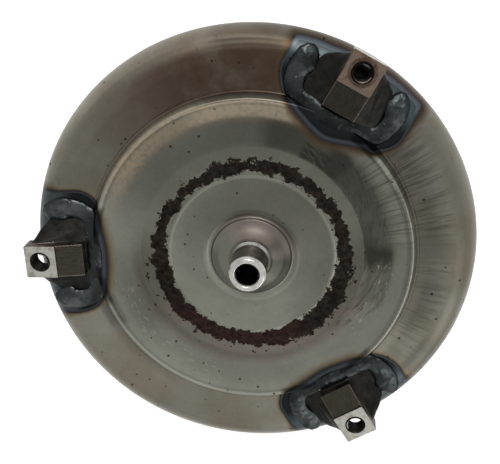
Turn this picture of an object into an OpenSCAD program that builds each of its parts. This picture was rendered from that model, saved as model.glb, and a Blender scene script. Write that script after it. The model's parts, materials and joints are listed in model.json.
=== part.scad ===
// Torque converter of a passenger car, standing on the end of its pump hub.
// Millimetres, +Z along the axis towards the engine, origin at the centre of the hub's end.

/* [Cover] */
// Outside radius of the front cover
cover_r = 124; // [123:0.5:126]
// Sheet thickness of the front cover
cover_skin = 4.5; // [4:0.1:5]
// Height of the cover's flat face above the hub's end
face_z = 118; // [117.5:0.5:120]
// Depth of the cover's edge below its flat face
skirt_depth = 26; // [24:1:32]
// How much narrower the cover's edge is than its rim
skirt_taper = 1.2; // [0.8:0.1:1.4]
// Radius of the raised boss round the pilot
boss_r = 22.3; // [20:0.1:24]
// Height of the boss above the flat face
boss_rise = 5.3; // [4:0.1:6]
// Radius where the flat face begins to climb to the crest
dish_start = 62; // [56:1:66]
// Radius of the middle of the crest
crest_r = 87.2; // [86.5:0.1:88]
// Height of the crest above the flat face
crest_rise = 2.9; // [2.2:0.1:3.2]
// Drop from the flat face to the outer ring that carries the lugs
ring_drop = 2; // [1.6:0.1:2.6]
// Outside radius of the rounded rim
rim_fillet = 13; // [12:0.1:13.4]

/* [Pilot] */
// Radius of the pilot that centres in the crankshaft
pilot_r = 10.1; // [9.5:0.05:10.5]
// Radius of the pilot's base collar
pilot_base_r = 11.25; // [11:0.05:12]
// Height of the pilot above the boss
pilot_len = 21.3; // [18:0.1:24]
// Radius of the blind hole in the pilot
pilot_bore_r = 6; // [5:0.1:6.5]
// Depth of the blind hole in the pilot
pilot_bore_depth = 14; // [10:0.5:16]

/* [Drive lugs] */
// Number of drive lugs
lug_count = 3; // [3:1:3]
// Radius of the circle through the lug holes
bolt_circle_r = 116.75; // [116:0.05:117.5]
// Height of the lug faces above the cover's flat face
pad_rise = 10.8; // [9:0.1:12]
// Width of a lug face
pad_w = 18.6; // [17:0.1:20]
// Length of a lug face along the radius
pad_len = 17.4; // [16.5:0.1:18]
// Radius of the tapped hole
thread_r = 4.25; // [4:0.05:4.5]
// Half of the height of the weld bead round a lug
bead_r = 3.4; // [2.8:0.1:3.8]
// Width of that bead as a multiple of its height
bead_spread = 1.45; // [1:0.05:1.6]

/* [Fluid wheels] */
// Height of the plane between pump wheel and turbine
torus_z = 62; // [62:0.5:62.5]
// Radius of the middle of the fluid ring
torus_r = 84; // [83.5:0.1:84.2]
// Number of pump blades
pump_blade_count = 31; // [23:1:37]
// Number of turbine blades
turbine_blade_count = 29; // [23:1:37]
// Thickness of the blades
blade_t = 1.2; // [0.8:0.1:1.6]
// Thickness of the core rings
core_t = 1.5; // [1:0.1:2]

/* [Pump hub] */
// Outside radius of the hub, where the pump seal runs
hub_r = 24; // [23:0.1:24.4]
// Inside radius of the hub
hub_bore_r = 20.5; // [19:0.1:21]
// Width of the pump drive slots
slot_w = 9; // [7:0.5:11]
// Depth of the pump drive slots
slot_depth = 7; // [5:0.5:9]

/* [Stator] */
// Number of stator vanes
vane_count = 13; // [11:1:17]
// Number of clutch rollers
roller_count = 10; // [8:1:10]
// Radius of a clutch roller
roller_r = 3.4; // [3.2:0.05:3.45]
// Number of needles in each thrust bearing
needle_count = 24; // [16:1:26]

/* [Lock-up clutch] */
// Radius of the turbine hub where the piston slides
piston_seat_r = 20; // [19.5:0.1:20.2]
// Gap between the friction lining and the cover
lining_gap = 1; // [0.6:0.1:1.2]
// Number of damper springs
spring_count = 6; // [6:1:6]
// Curls in one damper spring
curl_count = 11; // [6:1:13]
// Radius of the spring wire
wire_r = 1.2; // [0.8:0.1:1.3]

/* [Hidden] */
$fn = 96;

// Cover section: a dish arc, a crest, a leaning wall, a foot fillet and the rounded rim.
crest_fillet = 1.4;
foot_fillet = 1.4;
wall_lean = 30;
inner_turn = 1.2;
weld_gap = 0.02;
boss_foot = 0.4;
shank_r = 8.5;
crest_z = crest_rise - crest_fillet;
dish_run = crest_r - dish_start;
dish_reach = dish_run * dish_run + crest_z * crest_z - crest_fillet * crest_fillet;
dish_radius = dish_reach / (2 * crest_rise);
dish_angle = atan2(dish_run, dish_radius - crest_z);
foot_z = foot_fillet - ring_drop;
wall_reach = crest_r * cos(wall_lean) + crest_z * sin(wall_lean) + crest_fillet + foot_fillet;
foot_r = (wall_reach - foot_z * sin(wall_lean)) / cos(wall_lean);
rim_c = [cover_r - rim_fillet, -ring_drop - rim_fillet];
skirt_inner_r = cover_r - cover_skin;
cover_inside_z = face_z - cover_skin;
ring_inside_z = face_z - ring_drop - cover_skin;
skirt_z = face_z - skirt_depth;

// Lug levels and plan, with the lug standing at +Y.
pad_outer_y = bolt_circle_r + pad_len / 2 - 0.35;
pad_inner_y = pad_outer_y - pad_len;
ramp_end_y = 93;
ramp_drop = 3.6;
pad_step = 0.8;
pad_z = face_z + pad_rise;
overhang_rise = 0.7;
shoulder_drop = 4;
foot_depth = 9;
lug_angles = [for (i = [0:lug_count - 1]) 90 + 360 * i / lug_count];

// Pump wheel: inside half-axes of its shell, its flange and the rim inside the cover.
pump_skin = 3.45;
pump_a = 32;
pump_b = 25;
pump_flange_z = torus_z - pump_b / 2;
pump_hole_r = 25;
pump_rim_r = torus_r + pump_a + pump_skin;
pump_rim_z = skirt_z + 8;
core_r = torus_r + 1;
core_a = 14;
core_b = 10.5;
blade_from = 8;
blade_to = 140;
blade_steps = 8;
blade_root = 0.4;

// Turbine: outside half-axes of its shell and the levels on its hub.
turbine_z = torus_z + 1.5;
turbine_skin = 2;
turbine_a = 31;
turbine_b = 26;
hub_flange_z = torus_z + 12.5;
hub_flange_t = 4;
turbine_flange_z = hub_flange_z + hub_flange_t;
plate_t = 2.5;
hub_step_z = turbine_flange_z + 5.5;
hub_top_z = cover_inside_z - 4.5;
hub_step_r = 25;
hub_flange_r = 50;
hub_chamfer = 0.8;
turbine_spline_r = 11.2;
rivet_count = 8;
rivet_circle_r = 45;
rivet_r = 2.48;

// One-way clutch, its plates and the thrust bearings, as levels from the middle plane.
race_half = 7;
plate_rise = 1.8;
front_plate_z = torus_z + race_half;
rear_plate_z = torus_z - race_half - plate_rise;
race_outer_r = 36;
snap_r = 34.2;
snap_groove_r = 37.2;
inner_race_r = 21.6;
stator_spline_r = 15.6;
roller_circle_r = inner_race_r + roller_r + 0.15;
bearing_race_t = 0.9;
needle_r = 0.9;
needle_len = 7.4;
needle_from_r = 24;
bearing_r = [22.5, 33];
rear_needle_z = pump_flange_z + bearing_race_t + needle_r + 0.05;
front_needle_z = hub_flange_z - bearing_race_t - needle_r - 0.05;

// Lock-up clutch, from the cover inwards.
lining_t = 1.2;
piston_t = 2.5;
lining_z = ring_inside_z - lining_gap - lining_t;
piston_z = lining_z - piston_t;
seal_groove_z = piston_z - 2.8;
groove_depth = 1.6;
groove_w = 2.5;
spring_circle_r = 104;
coil_r = 3.7;
spring_z = piston_z - 7.8;
retainer_t = 1.6;
retainer_top_z = spring_z + 6.9;
drive_plate_z = spring_z - 4.5;
stop_width = 5;
finger_clear = 3.5;
tab_r = [109.6, 111.2];
tab_w = 8;
notch_w = tab_w + 1;
retainer_bore_r = 78;
spring_end_gap = 0.7;
spring_span = 360 / spring_count - 2 * (finger_clear + spring_end_gap);

// Points of an arc about c, from angle a0 to angle a1.
function arc(c, r, a0, a1, n = 8) = oval(c, r, r, a0, a1, n);

// Points of an oval arc with half-axes a and b.
function oval(c, a, b, a0, a1, n = 8) =
    [for (i = [0:n]) let (t = a0 + (a1 - a0) * i / n) [c[0] + a * cos(t), c[1] + b * sin(t)]];

// Outside of the cover from the pilot to its lower edge, as [radius, height above the flat face].
function cover_outside() = concat(
    [[shank_r, boss_rise], [pilot_base_r, boss_rise], [boss_r, boss_foot], [boss_r + 0.9, 0],
        [dish_start, 0]],
    arc([dish_start, dish_radius], dish_radius, -90, dish_angle - 90, 6),
    arc([crest_r, crest_z], crest_fillet, 90 + dish_angle, wall_lean, 6),
    arc([foot_r, foot_z], foot_fillet, 180 + wall_lean, 270, 4),
    arc(rim_c, rim_fillet, 90, 0, 10),
    [[cover_r - skirt_taper, -skirt_depth]]);

// Inside of the cover, from the lower edge back to the pilot.
function cover_inside() = concat(
    [[skirt_inner_r, -skirt_depth]],
    arc(rim_c, rim_fillet - cover_skin, 0, 90, 6),
    arc([foot_r, foot_z], foot_fillet + cover_skin, 270, 180 + wall_lean, 5),
    arc([dish_start, dish_radius], dish_radius + cover_skin, dish_angle - 90 - inner_turn, -90, 5),
    [[shank_r + weld_gap, -cover_skin]]);

// Height of the cover's outside at radius r, above the flat face, outside the flat.
function cover_height(r) =
    r < crest_r ? dish_radius - sqrt(dish_radius * dish_radius - pow(r - dish_start, 2)) :
    r < foot_r ? crest_rise - (r - crest_r) * (crest_rise + ring_drop) / (foot_r - crest_r) :
    r < rim_c[0] ? -ring_drop :
    rim_c[1] + sqrt(max(0, rim_fillet * rim_fillet - pow(r - rim_c[0], 2)));

// Everything under the cover's outside, a hair above it, to seat the lugs on.
module under_cover() {
    seat_gap = 0.03;
    translate([0, 0, face_z + seat_gap])
        rotate_extrude()
            polygon(concat([[0, -skirt_depth]], [[0, boss_rise]], cover_outside()));
}

// A flat ring between two radii.
module ring(inner, outer, z0, z1) {
    translate([0, 0, z0])
        difference() {
            cylinder(r = outer, h = z1 - z0);
            translate([0, 0, -1]) cylinder(r = inner, h = z1 - z0 + 2);
        }
}

// A closed skin over a row of rings that all have the same number of points.
// The two halves of the rings are cut along matching diagonals, so a twisted strip keeps its thickness.
module skinned(rings) {
    n = len(rings);
    m = len(rings[0]);
    sides = [for (i = [0:n - 2], j = [0:m - 1], k = [0, 1])
        let (a = i * m + j, b = i * m + (j + 1) % m, back = 2 * j >= m)
            k == 0 ? [a, b, back ? a + m : b + m] : [back ? b : a, b + m, a + m]];
    first = [for (j = [1:m - 2]) [0, j + 1, j]];
    last = [for (j = [1:m - 2]) [(n - 1) * m, (n - 1) * m + j, (n - 1) * m + j + 1]];
    corners = [for (row = rings, p = row) p];
    polyhedron(points = corners, faces = concat(sides, first, last), convexity = 6);
}

function unit(v) = v / norm(v);

// Rings of a flattened tube of m sides along points, with its own height at each point.
function bead_rings(points, radii, m) =
    let (n = len(points))
    [for (i = [0:n - 1])
        let (along = unit(points[min(i + 1, n - 1)] - points[max(i - 1, 0)]),
            side = unit(cross(along, [0, 0.02, 1])),
            up = cross(side, along))
        [for (j = [0:m - 1])
            points[i] + radii[i] * (bead_spread * side * cos(360 * j / m) + up * sin(360 * j / m))]];

// A point at radius r, angle a and height z.
function polar(r, a, z) = [r * cos(a), r * sin(a), z];

module front_cover() {
    color("darkkhaki")
        translate([0, 0, face_z])
            rotate_extrude($fn = 180)
                polygon(concat(cover_outside(), cover_inside()));
}

module pilot() {
    tip = boss_rise + pilot_len;
    collar_t = 0.5;
    collar_chamfer = 1.5;
    tip_chamfer = [1.2, 1.5];
    mouth_chamfer = 0.8;
    color("silver")
        translate([0, 0, face_z])
            difference() {
                rotate_extrude()
                    polygon([[0, -cover_skin], [shank_r, -cover_skin], [shank_r, boss_rise],
                        [pilot_base_r, boss_rise], [pilot_base_r, boss_rise + collar_t],
                        [pilot_r, boss_rise + collar_t + collar_chamfer], [pilot_r, tip - tip_chamfer[1]],
                        [pilot_r - tip_chamfer[0], tip], [0, tip]]);
                translate([0, 0, tip - pilot_bore_depth])
                    cylinder(r = pilot_bore_r, h = pilot_bore_depth + 1);
                translate([0, 0, tip - mouth_chamfer])
                    cylinder(r1 = pilot_bore_r, r2 = pilot_bore_r + 1, h = 1);
            }
}

// Four thin discs at the corners of one level; each end is [half-width, edge along y, corner radius, height].
module level(inner, outer, lower = 0) {
    for (s = [-1, 1]) {
        translate([s * (inner[0] - inner[2]), inner[1] + inner[2], inner[3] - lower])
            cylinder(r = inner[2], h = 0.1, $fn = 32);
        translate([s * (outer[0] - outer[2]), outer[1] - outer[2], outer[3] - lower])
            cylinder(r = outer[2], h = 0.1, $fn = 32);
    }
}

// One forged lug: a wide foot, a narrow waist and a square tower with the bolted face.
module lug(angle) {
    half = pad_w / 2;
    top = pad_rise - pad_step;
    foot = [[22.4, 89, 8, -1.5], [20.6, 116.7, 6, -1.5]];
    waist = [[15.8, 90.8, 5, 1], [14.4, 120.6, 4, 2.4]];
    shoulder = [[half, ramp_end_y - 0.4, 1, pad_rise - ramp_drop - shoulder_drop],
        [half, pad_outer_y - 1, 1, pad_rise - shoulder_drop]];
    hole_chamfer = 1.25;
    gap_w = 15;
    color("dimgray")
        rotate([0, 0, angle - 90])
            difference() {
                translate([0, 0, face_z]) {
                    hull() {
                        level(foot[0], foot[1], foot_depth);
                        level(foot[0], foot[1]);
                        level(waist[0], waist[1]);
                    }
                    hull() {
                        level(waist[0], waist[1]);
                        level(shoulder[0], shoulder[1]);
                    }
                    rotate([90, 0, 90])
                        translate([0, 0, -half])
                            linear_extrude(pad_w)
                                polygon([[ramp_end_y, overhang_rise], [ramp_end_y, pad_rise - ramp_drop],
                                    [pad_inner_y, top], [pad_inner_y, pad_rise], [pad_outer_y, pad_rise],
                                    [pad_outer_y + 0.4, overhang_rise]]);
                }
                under_cover();
                translate([0, bolt_circle_r, face_z - foot_depth - 3])
                    cylinder(r = thread_r, h = foot_depth + pad_rise + 4);
                translate([0, bolt_circle_r, pad_z - hole_chamfer])
                    cylinder(r1 = thread_r, r2 = thread_r + 1.2 * hole_chamfer, h = 1.2 * hole_chamfer);
                translate([-gap_w / 2, pad_inner_y + 3.5, face_z - foot_depth - 3])
                    cube([gap_w, pad_len, foot_depth + 3 + overhang_rise]);
            }
}

module drive_lug_1() { lug(lug_angles[0]); }
module drive_lug_2() { lug(lug_angles[1]); }
module drive_lug_3() { lug(lug_angles[2]); }

// Half of the bead's U-shaped route, from the rim end to the middle of the inner side.
function bead_half() = concat(
    [[24.2, 115], [26.4, 111.2], [27.2, 105.6]],
    arc([17.2, 98.5], 10.2, 0, -90, 6),
    [[11, 88.3], [5.5, 88.3]]);

// The weld bead round a lug's foot, climbing the wall to the crest on its inner side.
module lug_weld(angle) {
    half = bead_half();
    n = len(half);
    plan = concat(half, [[0, 88.3]], [for (i = [n - 1:-1:0]) [-half[i][0], half[i][1]]]);
    bead_lift = 0.8;
    end_swell = 1;
    last = len(plan) - 1;
    points = [for (p = plan) [p[0], p[1], face_z + cover_height(norm(p)) + bead_lift]];
    radii = [for (i = [0:last]) bead_r + (min(i, last - i) < 2 ? end_swell : 0)];
    color("slategray")
        rotate([0, 0, angle - 90])
            skinned(bead_rings(points, radii, 8));
}

module lug_weld_1() { lug_weld(lug_angles[0]); }
module lug_weld_2() { lug_weld(lug_angles[1]); }
module lug_weld_3() { lug_weld(lug_angles[2]); }

module seam_weld() {
    bead = 2.2;
    centre = [skirt_inner_r + 0.9, skirt_z - 1];
    color("slategray")
        rotate_extrude($fn = 180)
            translate(centre) circle(r = bead, $fn = 32);
}

module impeller_shell() {
    a = pump_a + pump_skin;
    b = pump_b + pump_skin;
    c = [torus_r, torus_z];
    outer_end = 180 - asin((torus_z - pump_flange_z + pump_skin) / b);
    color("darkgray")
        rotate_extrude($fn = 180)
            polygon(concat(
                [[pump_rim_r, pump_rim_z], [pump_rim_r, torus_z]],
                oval(c, a, b, 0, -outer_end, 18),
                [[pump_hole_r, pump_flange_z - pump_skin], [pump_hole_r, pump_flange_z]],
                oval(c, pump_a, pump_b, -150, 0, 18),
                [[torus_r + pump_a, pump_rim_z]]));
}

// One blade between a shell oval and a core oval; side is -1 for the pump and 1 for the turbine.
module blade(mid_z, shell, core, side, lead, bow) {
    rings = [for (i = [0:blade_steps])
        let (s = i / blade_steps,
            t = blade_from + (blade_to - blade_from) * s,
            turn = side * (lead * (s - 0.5) + bow * sin(180 * s)),
            rs = torus_r + shell[0] * cos(t),
            rc = core_r + core[0] * cos(t),
            zs = mid_z + side * shell[1] * sin(t),
            zc = mid_z + side * core[1] * sin(t),
            ds = 90 * blade_t / (PI * rs),
            dc = 90 * blade_t / (PI * rc))
        [polar(rs, turn + ds, zs), polar(rc, turn + dc, zc),
            polar(rc, turn - dc, zc), polar(rs, turn - ds, zs)]];
    skinned(side > 0 ? rings : [for (i = [blade_steps:-1:0]) rings[i]]);
}

module impeller_blades() {
    shell = [pump_a + blade_root, pump_b + blade_root];
    color("gray")
        for (i = [0:pump_blade_count - 1])
            rotate([0, 0, 360 * i / pump_blade_count])
                blade(torus_z, shell, [core_a - blade_root, core_b - blade_root], -1, 12, 2);
}

// Half of a core ring, open towards the other wheel.
module core_ring(z, side) {
    c = [core_r, z];
    rotate_extrude()
        polygon(concat(
            oval(c, core_a, side * core_b, 4, 176, 14),
            oval(c, core_a - core_t, side * (core_b - core_t), 176, 4, 14)));
}

module impeller_core_ring() {
    color("gray") core_ring(torus_z, -1);
}

module pump_hub() {
    collar_r = pump_hole_r + 2.5;
    collar_z = pump_flange_z - pump_skin;
    collar_t = 5.5;
    end_chamfer = 1.2;
    spigot_r = pump_hole_r - weld_gap;
    color("silver")
        difference() {
            rotate_extrude()
                polygon([[hub_bore_r, 0], [hub_r - end_chamfer, 0], [hub_r, end_chamfer],
                    [hub_r, collar_z - collar_t - 1.5], [collar_r, collar_z - collar_t],
                    [collar_r, collar_z], [spigot_r, collar_z],
                    [spigot_r, pump_flange_z], [hub_bore_r, pump_flange_z]]);
            translate([-hub_r - 1, -slot_w / 2, -1]) cube([2 * hub_r + 2, slot_w, slot_depth + 1]);
        }
}

module hub_weld() {
    bead = 2.4;
    color("slategray")
        rotate_extrude()
            translate([pump_hole_r + 3.4, pump_flange_z - pump_skin - 1]) circle(r = bead, $fn = 32);
}

module rear_bearing_lower_race() {
    z = pump_flange_z;
    color("lightsteelblue") ring(bearing_r[0], bearing_r[1], z, z + bearing_race_t);
}

// The holes for the turbine's rivets through a layer of thickness t at height z.
module rivet_holes(z, t) {
    for (i = [0:rivet_count - 1])
        rotate([0, 0, 360 * i / rivet_count])
            translate([rivet_circle_r, 0, z - 1]) cylinder(r = rivet_r + 0.02, h = t + 2);
}

module turbine_shell() {
    c = [torus_r, turbine_z];
    a = turbine_a - turbine_skin;
    b = turbine_b - turbine_skin;
    top = turbine_flange_z + turbine_skin;
    outer_end = 180 - asin((top - turbine_z) / turbine_b);
    inner_end = 180 - asin((turbine_flange_z - turbine_z) / b);
    color("darkgray")
        difference() {
            rotate_extrude()
                polygon(concat(
                    oval(c, turbine_a, turbine_b, 0, outer_end, 18),
                    [[hub_step_r + 0.05, top], [hub_step_r + 0.05, turbine_flange_z]],
                    oval(c, a, b, inner_end, 0, 18)));
            rivet_holes(turbine_flange_z, turbine_skin);
        }
}

module turbine_blades() {
    shell = [turbine_a - turbine_skin + blade_root, turbine_b - turbine_skin + blade_root];
    color("gray")
        for (i = [0:turbine_blade_count - 1])
            rotate([0, 0, 360 * i / turbine_blade_count])
                blade(turbine_z, shell, [core_a - blade_root, core_b - blade_root], 1, -24, 9);
}

module turbine_core_ring() {
    color("gray") core_ring(turbine_z, 1);
}

// Outline of a splined hole: a round bore with square grooves.
module spline_outline(r, depth, teeth) {
    groove = PI * r / teeth;
    circle(r = r);
    for (i = [0:teeth - 1])
        rotate(360 * i / teeth)
            translate([r - 1, -groove / 2])
                square([1 + depth, groove]);
}

module turbine_hub() {
    color("silver")
        difference() {
            rotate_extrude()
                polygon([[0, hub_flange_z], [hub_flange_r, hub_flange_z], [hub_flange_r, turbine_flange_z],
                    [hub_step_r, turbine_flange_z], [hub_step_r, hub_step_z],
                    [piston_seat_r, hub_step_z + 2], [piston_seat_r, seal_groove_z],
                    [piston_seat_r - groove_depth, seal_groove_z],
                    [piston_seat_r - groove_depth, seal_groove_z + groove_w],
                    [piston_seat_r, seal_groove_z + groove_w], [piston_seat_r, hub_top_z - hub_chamfer],
                    [piston_seat_r - hub_chamfer, hub_top_z], [0, hub_top_z]]);
            translate([0, 0, hub_flange_z - 1])
                linear_extrude(hub_top_z - hub_flange_z + 2)
                    spline_outline(turbine_spline_r, 1.1, 22);
            rivet_holes(hub_flange_z, hub_flange_t);
        }
}

module turbine_rivets() {
    stack = hub_flange_t + turbine_skin + plate_t;
    head_t = 1.3;
    head_r = [3, 3.8];
    color("lightgray")
        for (i = [0:rivet_count - 1])
            rotate([0, 0, 360 * i / rivet_count])
                translate([rivet_circle_r, 0, hub_flange_z]) {
                    cylinder(r = rivet_r, h = stack);
                    translate([0, 0, -head_t]) cylinder(r1 = head_r[0], r2 = head_r[1], h = head_t);
                    translate([0, 0, stack]) cylinder(r1 = head_r[1], r2 = head_r[0], h = head_t);
                }
}

module driven_plate() {
    low = turbine_flange_z + turbine_skin;
    high = drive_plate_z;
    bend_r = [53, 64];
    plate_r = 96;
    rib_r = [75.5, retainer_bore_r - 0.1];
    rib_h = 5.5;
    finger_r = [99.2, 108];
    finger_h = 5;
    color("steelblue")
        difference() {
            union() {
                rotate_extrude()
                    polygon([[hub_step_r + 0.05, low], [bend_r[0], low], [bend_r[1], high],
                        [plate_r, high], [plate_r, high + plate_t],
                        [rib_r[1], high + plate_t], [rib_r[1], high + rib_h], [rib_r[0], high + rib_h],
                        [rib_r[0], high + plate_t], [bend_r[1] - 1.5, high + plate_t],
                        [bend_r[0] - 1.5, low + plate_t], [hub_step_r + 0.05, low + plate_t]]);
                for (i = [0:spring_count - 1])
                    rotate([0, 0, 360 * i / spring_count - stop_width / 2])
                        rotate_extrude(angle = stop_width)
                            polygon([[plate_r - 1, high], [finger_r[1], high],
                                [finger_r[1], high + finger_h], [finger_r[0], high + finger_h],
                                [finger_r[0], high + plate_t], [plate_r - 1, high + plate_t]]);
            }
            rivet_holes(low, plate_t);
        }
}

module piston_seal() {
    color("black")
        ring(piston_seat_r - groove_depth + 0.1, piston_seat_r - 0.05,
            seal_groove_z + 0.1, seal_groove_z + groove_w - 0.1);
}

module thrust_washer() {
    z = hub_top_z + 0.1;
    washer_bore_r = 12.6;
    groove = 3;
    groove_t = 1.7;
    color("peru")
        difference() {
            ring(washer_bore_r, piston_seat_r - hub_chamfer - 0.1, z, cover_inside_z - 0.2);
            for (a = [0, 90])
                rotate([0, 0, a])
                    translate([-piston_seat_r, -groove / 2, cover_inside_z - groove_t])
                        cube([2 * piston_seat_r, groove, groove_t]);
        }
}

module front_bearing_upper_race() {
    color("lightsteelblue") ring(bearing_r[0], bearing_r[1], hub_flange_z - bearing_race_t, hub_flange_z);
}

module spring_retainer() {
    z = drive_plate_z + 3.2;
    top = retainer_top_z;
    wall_r = [97, 98.6];
    lip_r = 109.4;
    lip_drop = 2.7;
    stop_z = spring_z + 1.5;
    color("slateblue")
        difference() {
            union() {
                rotate_extrude()
                    polygon([[retainer_bore_r, z], [wall_r[1], z], [wall_r[1], top - retainer_t],
                        [lip_r, top - retainer_t], [lip_r, z - lip_drop], [tab_r[1], z - lip_drop],
                        [tab_r[1], top], [wall_r[0], top],
                        [wall_r[0], z + retainer_t], [retainer_bore_r, z + retainer_t]]);
                for (i = [0:spring_count - 1])
                    rotate([0, 0, 360 * i / spring_count - stop_width / 2])
                        rotate_extrude(angle = stop_width)
                            translate([wall_r[1] - 0.3, stop_z])
                                square([lip_r - wall_r[1], top - retainer_t + 0.3 - stop_z]);
            }
            for (i = [0:spring_count - 1])
                rotate([0, 0, 360 * i / spring_count])
                    translate([lip_r - 0.3, -notch_w / 2, spring_z + 0.9]) cube([5, notch_w, 10]);
        }
}

// Axis of one damper spring, on an arc between two stops, at share s of its length.
function spring_axis(s) = polar(spring_circle_r, finger_clear + spring_end_gap + spring_span * s, spring_z);

// Middle of the wire, wound round that axis.
function spring_point(s) =
    let (turn = 360 * curl_count * s, axis = spring_axis(s), out = unit([axis[0], axis[1], 0]))
    axis + coil_r * (cos(turn) * out + sin(turn) * [0, 0, 1]);

function spring_rings(m) =
    let (n = curl_count * rings_per_curl, h = 0.001)
    [for (i = [0:n])
        let (s = i / n,
            along = unit(spring_point(s + h) - spring_point(s - h)),
            out = unit(spring_point(s) - spring_axis(s)),
            side = unit(cross(along, out)),
            up = cross(side, along))
        [for (j = [0:m - 1])
            spring_point(s) + wire_r * (side * cos(360 * j / m) + up * sin(360 * j / m))]];

rings_per_curl = 6;

// Least gap between the curls of a spring, measured on points of its wire.
spring_wire = [for (i = [0:curl_count * rings_per_curl]) spring_point(i / (curl_count * rings_per_curl))];
spring_gap = min([for (i = [0:len(spring_wire) - 1], j = [i + 4:1:len(spring_wire) - 1])
    norm(spring_wire[i] - spring_wire[j]) - 2 * wire_r]);
echo(spring_gap = spring_gap);

module damper_springs() {
    color("royalblue")
        for (i = [0:spring_count - 1])
            rotate([0, 0, 360 * i / spring_count])
                skinned(spring_rings(5));
}

module lockup_piston() {
    z = piston_z;
    top = piston_z + piston_t;
    bore = piston_seat_r + 0.06;
    collar_h = 5.8;
    collar_t = 3.4;
    dish = 2.5;
    dish_r = [84, 89];
    piston_r = 114;
    tab_h = 6.2;
    color("gainsboro") {
        rotate_extrude()
            polygon([[bore, z - collar_h], [bore + collar_t, z - collar_h], [bore + collar_t, z + 1.2],
                [bore + collar_t + 2, z + dish], [dish_r[0], z + dish], [dish_r[1], z], [piston_r, z],
                [piston_r, top], [dish_r[1] + 1, top], [dish_r[0] + 1, top + dish], [bore, top + dish]]);
        for (i = [0:spring_count - 1])
            rotate([0, 0, 360 * i / spring_count])
                translate([tab_r[0], -tab_w / 2, z - tab_h])
                    cube([tab_r[1] - tab_r[0], tab_w, tab_h + 0.8]);
    }
}

module friction_lining() {
    groove_count = 12;
    groove = 2;
    groove_z = lining_z + 0.7;
    lining_r = [95.5, 110.5];
    color("saddlebrown")
        difference() {
            ring(lining_r[0], lining_r[1], lining_z, lining_z + lining_t);
            for (i = [0:groove_count - 1])
                rotate([0, 0, 360 * i / groove_count + 10])
                    translate([lining_r[0] - 1, -groove / 2, groove_z])
                        cube([lining_r[1] - lining_r[0] + 2, groove, lining_t]);
        }
}

// Vane section along the axis: a rounded nose, a cambered back and a thin tail.
function vane_section() = [[-6.5, -1.2], [-5.9, 1.3], [-3.8, 2.6], [-0.5, 2.4], [3, 0.6], [6.5, -3.4],
    [6.1, -4], [2.6, -1.6], [-1, -0.6], [-4.2, -1.4], [-5.9, -2.2]];

module stator_wheel() {
    bore = race_outer_r + weld_gap;
    lip_r = 34;
    hub_wall_r = 40;
    drum_r = 52;
    rim_r = [67.5, 70];
    snap_z = front_plate_z + plate_rise;
    color("lightgray")
        difference() {
            union() {
                rotate_extrude()
                    polygon([[lip_r, rear_plate_z - 1], [hub_wall_r, rear_plate_z - 1],
                        [drum_r - 3, torus_z - 7.2], [drum_r, torus_z - 7.2], [drum_r, torus_z + 7.4],
                        [hub_wall_r, torus_z + 8], [hub_wall_r, torus_z + 11],
                        [bore, torus_z + 11], [bore, rear_plate_z], [lip_r, rear_plate_z]]);
                for (i = [0:vane_count - 1])
                    rotate([0, 0, 360 * i / vane_count])
                        translate([drum_r - 2, 0, torus_z])
                            rotate([0, 90, 0])
                                linear_extrude(rim_r[0] + 1 - (drum_r - 2)) polygon(vane_section());
                ring(rim_r[0], rim_r[1], torus_z - 6.9, torus_z + 7.1);
            }
            ring(race_outer_r - 1, snap_groove_r, snap_z, snap_z + 1.1);
        }
}

module clutch_outer_race() {
    pocket_step = 10;
    color("steelblue")
        translate([0, 0, torus_z - race_half])
            difference() {
                cylinder(r = race_outer_r, h = 2 * race_half);
                translate([0, 0, -1]) cylinder(r = roller_circle_r + 2.45, h = 2 * race_half + 2);
                for (i = [0:roller_count - 1], k = [0, 1])
                    rotate([0, 0, 360 * i / roller_count + k * pocket_step])
                        translate([roller_circle_r - 0.5 - 0.2 * k, 0, -1])
                            cylinder(r = roller_r + 0.8 - 0.3 * k, h = 2 * race_half + 2);
            }
}

module clutch_rollers() {
    color("gainsboro")
        for (i = [0:roller_count - 1])
            rotate([0, 0, 360 * i / roller_count])
                translate([roller_circle_r, 0, torus_z - race_half + 0.2])
                    cylinder(r = roller_r, h = 2 * race_half - 0.4);
}

// Folded leaf springs that push the rollers up their ramps.
module clutch_springs() {
    leaf = 0.4;
    leaf_w = 10;
    color("goldenrod")
        for (i = [0:roller_count - 1])
            rotate([0, 0, 360 * i / roller_count + 9.4])
                translate([0, 0, torus_z - leaf_w / 2])
                    linear_extrude(leaf_w)
                        polygon([[23, 0], [26.8, 0.6], [26.8, 1], [23.8, 1.4], [26.8, 2.2], [26.8, 2.6],
                            [23, 2.6], [23, 2.6 - leaf], [25.6, 2.2], [22.6, 1.6], [22.6, 1.2],
                            [25.6, 0.8], [23, leaf]]);
}

module clutch_front_plate() {
    color("tan") ring(inner_race_r + 0.4, race_outer_r - 0.1, front_plate_z, front_plate_z + plate_rise);
}

module clutch_rear_plate() {
    color("tan") ring(inner_race_r + 0.4, race_outer_r - 0.1, rear_plate_z, rear_plate_z + plate_rise);
}

module stator_snap_ring() {
    color("dimgray")
        translate([0, 0, front_plate_z + plate_rise + 0.05])
            rotate_extrude(angle = 340)
                translate([snap_r, 0]) square([snap_groove_r - 0.2 - snap_r, 1]);
}

module front_bearing_lower_race() {
    z = front_plate_z + plate_rise;
    color("lightsteelblue") ring(bearing_r[0], bearing_r[1], z, z + bearing_race_t);
}

module rear_bearing_upper_race() {
    color("lightsteelblue") ring(bearing_r[0], bearing_r[1], rear_plate_z - bearing_race_t, rear_plate_z);
}

module clutch_inner_race() {
    color("steelblue")
        difference() {
            translate([0, 0, torus_z - race_half - 1.5]) cylinder(r = inner_race_r, h = 2 * race_half + 3);
            translate([0, 0, torus_z - race_half - 3])
                linear_extrude(2 * race_half + 6)
                    spline_outline(stator_spline_r, 1.2, 26);
        }
}

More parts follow.
